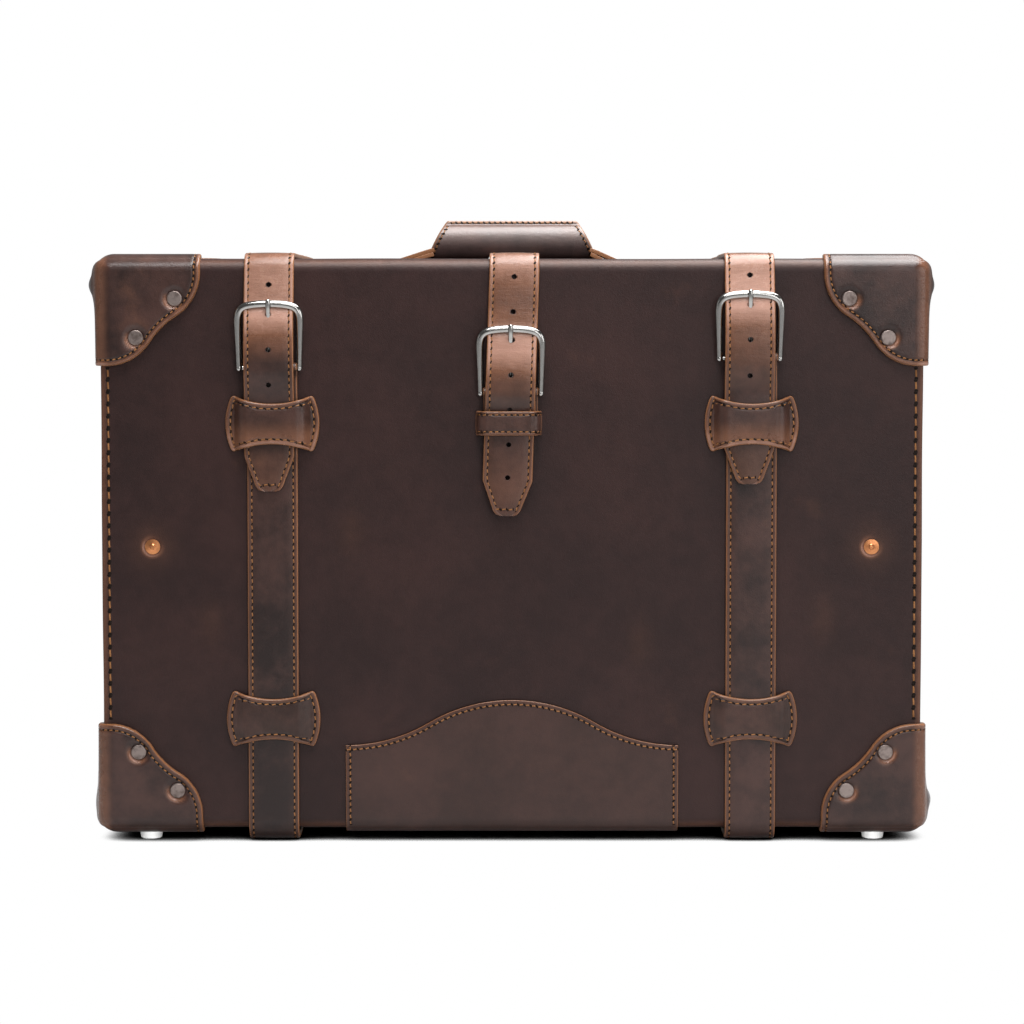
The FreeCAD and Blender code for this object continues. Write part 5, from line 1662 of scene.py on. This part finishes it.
@dataclass
class Buckles:
    """The three buckles: a bent frame with its bar, and a prong."""

    wire: float = 2.4
    crest_wire: float = 3.1
    half_low: float = 22.2
    half_high: float = 23.4
    shoulder: float = 45.2
    crest: float = 48.0
    corner: float = 13.0
    top_out: float = 9.6
    ball: float = 2.6
    bar: float = 1.7
    prong: float = 1.95
    ring: float = 3.9

    def frame_patches(self, straps: Straps, seat: BuckleSeat) -> list[Patch]:
        """The bent frame, leaning out a little, and the bar with its round ends."""
        top = [(-self.half_high, self.shoulder), (-self.half_high * 0.5, self.crest - 0.6), (0.0, self.crest),
               (self.half_high * 0.5, self.crest - 0.6), (self.half_high, self.shoulder)]
        flat = softened(np.array([(-self.half_low, 0.0), *top, (self.half_low, 0.0)]), self.corner, 0.8)
        tilt = math.asin((self.top_out - straps.bar_out) / 50.0)
        origin = np.array([seat.x, -CASE.depth - straps.bar_out, CASE.low + seat.bar])
        line = origin + points_of(flat[:, 0], -math.sin(tilt) * flat[:, 1], math.cos(tilt) * flat[:, 1])
        side = np.array([0.0, -math.cos(tilt), -math.sin(tilt)])
        end = self.half_low + self.ball
        x = spread(-end, end, 2.0, *fine_ends(-end, end, 2 * self.ball, 0.4))
        knob = np.sqrt(np.clip(self.ball ** 2 - (np.abs(x) - self.half_low) ** 2, 0.0, None))
        radius = np.maximum(knob, np.where(np.abs(x) < self.half_low, self.bar, 0.0))
        bar = origin + points_of(x, 0.0, 0.0)
        wire = self.wire + (self.crest_wire - self.wire) * ease(flat[:, 1] / self.crest)
        return [tube(line, side, wire), tube(bar, np.array([0.0, 1.0, 0.0]), radius)]

    def prong_patch(self, straps: Straps, seat: BuckleSeat) -> Patch:
        """The prong: a hook of wire round the bar, then up behind the tongue and over the frame."""
        eye = arc((straps.bar_out, 0.0), self.ring, -40.0, -250.0, 26)
        run = np.array([(4.6, 14.0), (5.2, 30.0), (10.8, 38.0), (13.4, 43.0), (14.4, 47.5), (14.1, 51.2)])
        flat = softened(np.concatenate([eye, run]), 4.0, 0.5)
        line = points_of(seat.x, -CASE.depth - flat[:, 0], CASE.low + seat.bar + flat[:, 1])
        to_tip = run_length(line)[-1] - run_length(line)
        radius = self.prong * np.maximum(round_end(to_tip, 1.6) / 1.6, 0.1)
        return tube(line, X_AXIS, radius, 16)

    def build(self, shop: Workshop, straps: Straps) -> None:
        """Make the frames and prongs."""
        for name, seat in straps.seats.items():
            made = shop.make(f"buckle_{name}_bent_frame", self.frame_patches(straps, seat), Slot.NICKEL)
            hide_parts("buckle_frame_" + name)
            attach(made, "buckle_" + name)
            made = shop.make(f"buckle_{name}_tapered_prong", [self.prong_patch(straps, seat)], Slot.NICKEL)
            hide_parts("buckle_prong_" + name)
            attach(made, "prong_" + name)


@dataclass
class Handle:
    """The folded and stitched grip, and the two-layer strap ends that leave it."""

    y: float = 24.0
    radius: float = 12.0
    tall: float = 13.8
    lift: float = 1.2
    top_half: float = 50.8
    low_half: float = 66.2
    seam_half: float = 2.2
    seam_rise: float = 2.6
    tab_half: float = 12.0
    layer: float = 3.3
    notch_x: float = 1.2
    notch_half: float = 20.4
    notch_up: float = 4.6
    pitch: float = 4.4
    tab_shift: dict = field(default_factory=lambda: {-1: 1.5, 1: -6.0})

    @property
    def middle(self) -> float:
        """Height of the grip's middle line."""
        return CASE.high + self.lift + self.tall

    def section(self) -> Array:
        """The grip seen from its end: an oval with a seam standing on top, its corners rounded."""
        body = arc((0.0, 0.0), self.radius, 62.0, -242.0, 70) * [1.0, self.tall / self.radius]
        top = self.tall + self.seam_rise
        seam = [(-self.seam_half, self.tall - 0.5), (-self.seam_half, top), (self.seam_half, top),
                (self.seam_half, self.tall - 0.5)]
        return softened(np.concatenate([body, seam]), 1.5, 0.8, closed=True)

    def reach(self, tall: Array) -> Array:
        """Half length of the grip at a height from its middle: a slant with a slight fullness."""
        share = (tall + self.tall) / (2 * self.tall + self.seam_rise)
        return self.low_half + (self.top_half - self.low_half) * share + 5.0 * share * (1.0 - share)

    def grip(self) -> list[Patch]:
        """The grip as rings of its section along its length, its ends cut on the slant."""
        section = self.section()
        ends = np.array([(-1.0, 0.0), (-1.0, 0.9), (-0.994, 0.965), (-0.985, 1.0)])
        share = np.linspace(-1.0, 1.0, 101)[2:-2]
        along = np.concatenate([ends[:, 0], share, -ends[::-1, 0]])
        size = np.concatenate([ends[:, 1], np.ones(len(share)), ends[::-1, 1]])
        spun = section[None] * size[:, None, None]
        x = along[:, None] * self.reach(spun[..., 1])
        pressed = CASE.high + self.notch_up * ease((self.notch_half - np.abs(x - self.notch_x)) / 1.6)
        tall = np.maximum(self.middle + spun[..., 1], pressed)
        points = points_of(x, self.y + spun[..., 0], tall)
        core = points_of(0.98 * x, self.y, self.middle)
        pattern = points_of(x, run_length(section))
        seam = (section[:, 1] > self.tall + self.seam_rise - 1.2) * 0.9
        raw = np.maximum(seam[None], 0.8 * (np.abs(along) > 0.984)[:, None])
        # lighter towards the top of the grip: painted highlight
        rub = 0.35 * ease((section[:, 1] + 5.0) / 16.0)
        return [Patch(points, points - core, pattern, raw, rub, closed=True)]

    def stitching(self) -> Stitching:
        """Rows along the seam and beside both slanted ends."""
        rows = Stitching("handle_stitching")
        top = self.top_half - 3.0
        x = np.linspace(-top, top, 60)
        turn = np.radians(np.linspace(28.0, 172.0, 40))
        tall = self.tall * np.cos(turn)
        for side in SIDES.values():
            beside = self.y + side * (self.seam_half + 0.05)
            seam = points_of(x, beside, self.middle + self.tall + 1.0)
            rows.row(seam, np.broadcast_to([0.0, side, 0.0], seam.shape), self.pitch)
            face = points_of(0.0, side * np.sin(turn), np.cos(turn))
            for end in SIDES.values():
                points = points_of(end * (self.reach(tall) - 3.6), self.y + self.radius * face[:, 1],
                                   self.middle + tall)
                rows.row(points, face, self.pitch)
        return rows

    def tab(self, side: int) -> list[Patch]:
        """One strap end: two thin layers from the grip down into the slot of the case top."""
        shift = self.tab_shift[side]
        lower = np.array([(60.5, 3.7), (63.0, 3.2), (75.0 + shift, -1.2), (82.0 + shift, -4.2)])
        upper = np.array([(60.0, 7.1), (62.5, 6.6), (88.0 + shift, -2.2), (94.0 + shift, -4.4)])
        made = []
        for level, corners in enumerate((lower, upper)):
            flat = softened(corners, 8.0, 1.0)
            flat = resample(flat, np.linspace(0.0, run_length(flat)[-1], 36))
            run = unit(np.gradient(flat, axis=0))
            facing = points_of(-side * run[:, 1], 0.0, run[:, 0])
            line = points_of(side * flat[:, 0], self.y, CASE.high + flat[:, 1])
            made += StrapRun(line, facing, self.tab_half - 0.5 * level, self.layer, bevel=0.5, crown=0.1,
                             groove=0.1, across=np.array([0.0, 1.0, 0.0])).patches()
        return made

    def build(self, shop: Workshop) -> None:
        """Make the grip, its stitching and the strap ends."""
        made = shop.make("handle_folded_grip", self.grip(), Slot.STRAP, finish=GRIP_FINISH)
        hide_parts("handle_grip")
        for piece in (made, self.stitching().build(shop)):
            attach(piece, "handle")
        for name, side in SIDES.items():
            made = shop.make(f"handle_tab_{name}_layers", self.tab(side), Slot.STRAP)
            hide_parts("handle_tabs")
            slot, grip = (side * 90.0, self.y, CASE.high), (side * 66.0, self.y, CASE.high + 8.0)
            bend([made], "base", "handle", slot, grip)


@dataclass
class PackingStraps:
    """The webbing strap inside each half, held by the copper rivets."""

    half_width: float = 15.0
    thick: float = 1.5
    reach: float = 284.5
    up: float = 213.0
    wall: float = 6.0
    slack: float = 1.1

    def build(self, shop: Workshop) -> None:
        """Make both straps: flat at the rivets, with a few slack waves between them."""
        for half in Half:
            x = np.linspace(-self.reach, self.reach, 120)
            free = ease((260.0 - np.abs(x)) / 40.0)
            stand = CASE.depth - self.wall - free * self.slack * (1.0 + np.sin(x / 23.0 + half.value))
            line = points_of(x, half.value * stand, CASE.low + self.up)
            facing = np.broadcast_to([0.0, -float(half.value), 0.0], line.shape)
            strap = StrapRun(line, facing, self.half_width, self.thick, bevel=0.4, crown=0.0, groove=0.0,
                             across=np.array([0.0, 0.0, 1.0]))
            made = shop.make(half.body + "_packing_webbing", strap.patches(), Slot.WEBBING)
            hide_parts(half.body + "_packing_strap")
            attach(made, half.body)


@dataclass
class Hardware:
    """The turned and cut metal that the frame already has, and the board lip."""

    slots: dict = field(default_factory=lambda: {
        "base_cap_rivets": Slot.AGED, "lid_cap_rivets": Slot.AGED,
        "base_copper_rivets": Slot.COPPER, "lid_copper_rivets": Slot.COPPER,
        "base_feet": Slot.FOOT, "lid_feet": Slot.FOOT, "base_lip": Slot.BOARD,
        "hinge_leaves_base": Slot.HINGE, "hinge_leaves_lid": Slot.HINGE, "hinge_pins": Slot.HINGE,
        "hinge_screws_base": Slot.HINGE, "hinge_screws_lid": Slot.HINGE,
    })

    def build(self, shop: Workshop) -> None:
        """Dress each carried-over node."""
        for node, slot in self.slots.items():
            shop.dress(node, slot)


@dataclass
class Studio:
    """Camera, pale floor, soft lamps and a white surround."""

    camera_at: tuple = (0.0, -2.397, 0.391)
    aim: tuple = (0.0, -0.097, 0.248)
    lens: float = 108.5
    floor_half: float = 6.0
    ambient: float = 0.09
    floor_light: float = 3.6
    floor_spread: float = 12.0
    shadow_reach: float = 0.05
    shadow_range: tuple = (0.1, 0.5)
    floor_fade: tuple = (0.5, 1.6)
    behind: tuple = (0.0, 0.4)
    mirror: float = 0.3

    def stand(self, name: str, data: bpy.types.ID, at: tuple, aim: tuple) -> bpy.types.Object:
        """Put a camera or a lamp at a place, looking at another."""
        made = bpy.data.objects.new(name, data)
        made.location = at
        made.rotation_euler = (Vector(aim) - Vector(at)).to_track_quat("-Z", "Y").to_euler()
        bpy.context.collection.objects.link(made)
        return made

    def camera(self) -> None:
        """The camera at the photograph's viewing angle."""
        data = bpy.data.cameras.new("camera")
        data.lens = self.lens
        data.sensor_width = 36.0
        bpy.context.scene.camera = self.stand("camera", data, self.camera_at, self.aim)

    def lamp(self, name: str, at: tuple, aim: tuple, size: tuple, power: float,
             shadow: bool = True) -> bpy.types.Object:
        """One oblong soft lamp."""
        data = bpy.data.lights.new(name, "AREA")
        data.use_shadow = shadow
        data.shape = "RECTANGLE"
        data.size, data.size_y = size
        data.energy = power
        return self.stand(name, data, at, aim)

    def floor_lamp(self) -> bpy.types.Object:
        """A lamp straight above that lights the floor, so that the shadow stays close to the object."""
        data = bpy.data.lights.new("floor_lamp", "SUN")
        data.energy = self.floor_light
        data.angle = math.radians(self.floor_spread)
        return self.stand("floor_lamp", data, (0.0, 0.0, 3.0), (0.0, 0.0, 0.0))

    def aim_at(self, lamp: bpy.types.Object, targets: Sequence[bpy.types.Object], only: bool) -> None:
        """Let a lamp light the given objects only, or all but them."""
        lit = bpy.data.collections.new(lamp.name + "_lights")
        for target in targets:
            lit.objects.link(target)
        for entry in lit.collection_objects:
            entry.light_linking.link_state = "INCLUDE" if only else "EXCLUDE"
        lamp.light_linking.receiver_collection = lit

    def greys(self, bench: ShaderBench, kind: str, *levels: float) -> list[Wire]:
        """Shaders of one kind in plain greys."""
        return [bench.node(kind, None, {"Color": (level, level, level, 1.0)}) for level in levels]

    def floor_finish(self) -> bpy.types.Material:
        """A pale floor that shows the white surround through it, dimmed where the object stands close.

        Returns:
            A material that the camera sees through, so that a half swung below the floor still shows.
            Its shadow comes from how much of the sky near by the object hides. Other rays meet a pale
            surface, which throws light up at the object and dims away from it.
        """
        bench = ShaderBench("pale_floor")
        rays = bench.node("ShaderNodeLightPath", output="Is Camera Ray")
        shadow_rays = rays.other("Is Shadow Ray")
        underneath = bench.node("ShaderNodeNewGeometry", output="Backfacing")
        open_sky = bench.node("ShaderNodeAmbientOcclusion", {"samples": 24},
                              {"Distance": self.shadow_reach}, "AO").rise(*self.shadow_range)
        seen = 1.0 - rays * (1.0 - underneath) * (1.0 - open_sky)
        clear = bench.blend(seen, *self.greys(bench, "ShaderNodeBsdfTransparent", 0.0, 1.0))
        away = bench.node("ShaderNodeVectorMath", {"operation": "LENGTH"}, {0: bench.place()}, "Value")
        far = away.rise(*self.floor_fade)
        pale = bench.blend(far, *self.greys(bench, "ShaderNodeBsdfDiffuse", 0.8, 0.28))
        return bench.close(bench.blend((rays + shadow_rays + underneath).clamped(), pale, clear))

    def floor(self) -> bpy.types.Object:
        """A pale floor under the object."""
        reach = self.floor_half
        corners = [(-reach, -reach, 0.0), (reach, -reach, 0.0), (reach, reach, 0.0), (-reach, reach, 0.0)]
        mesh = bpy.data.meshes.new("floor")
        mesh.from_pydata(corners, [], [(0, 1, 2, 3)])
        made = bpy.data.objects.new("floor", mesh)
        bpy.context.collection.objects.link(made)
        mesh.materials.append(self.floor_finish())
        return made

    def surround(self) -> None:
        """A world that looks white, also in metal that mirrors what lies behind, with a plain light."""
        bench = ShaderBench("surround", world=True)
        rays = bench.node("ShaderNodeLightPath", output="Is Camera Ray")
        passing, mirrored = rays.other("Is Transmission Ray"), rays.other("Is Glossy Ray")
        way = bench.node("ShaderNodeTexCoord", output="Generated")
        back = bench.node("ShaderNodeSeparateXYZ", None, {0: way}, 1).rise(*self.behind)
        seen = (rays + passing + mirrored * back * self.mirror).clamped()
        white = bench.node("ShaderNodeBackground", None, {
            "Color": (1.0, 1.0, 1.0, 1.0), "Strength": seen * (1.0 - self.ambient) + self.ambient})
        bpy.context.scene.world = bench.close(white)

    def build(self) -> None:
        """Set up everything around the object."""
        bpy.context.scene.view_settings.view_transform = "Standard"
        self.camera()
        floor = self.floor()
        self.surround()
        overhead = self.lamp("overhead", (0.25, -0.18, 1.75), (0.0, -0.05, 0.35), (2.2, 0.9), 72.0)
        self.aim_at(overhead, [floor], only=False)
        self.aim_at(self.floor_lamp(), [floor], only=True)
        self.lamp("side_left", (-2.1, -1.1, 0.8), (0.0, -0.1, 0.25), (1.0, 1.2), 1.5)
        self.lamp("side_right", (2.1, -1.3, 0.8), (0.0, -0.1, 0.25), (1.0, 1.2), 12.0)
        self.lamp("front_high", (0.4, -2.3, 1.5), (0.0, -0.1, 0.4), (1.4, 0.5), 10.5)
        self.lamp("front_right", (0.9, -2.6, 0.6), (0.1, -0.1, 0.3), (0.8, 0.8), 6.5)
        low = self.lamp("low_front", (0.0, -1.6, 0.12), (0.0, -0.1, 0.0), (2.4, 0.2), 30.0, shadow=False)
        self.aim_at(low, [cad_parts[name] for name in ("lid_feet", "base_feet")], only=True)


def main() -> None:
    """Build every sub-assembly in order."""
    logging.basicConfig(level=logging.INFO, format="%(name)s %(message)s")
    Studio().build()
    shop = Workshop()
    straps = Straps()
    for half in Half:
        CaseShell(half).build(shop)
        CornerCaps(half).build(shop)
    Apron().build(shop)
    straps.build(shop)
    Keepers().build(shop, straps)
    Buckles().build(shop, straps)
    Handle().build(shop)
    PackingStraps().build(shop)
    Hardware().build(shop)


if __name__ == "__main__":
    main()
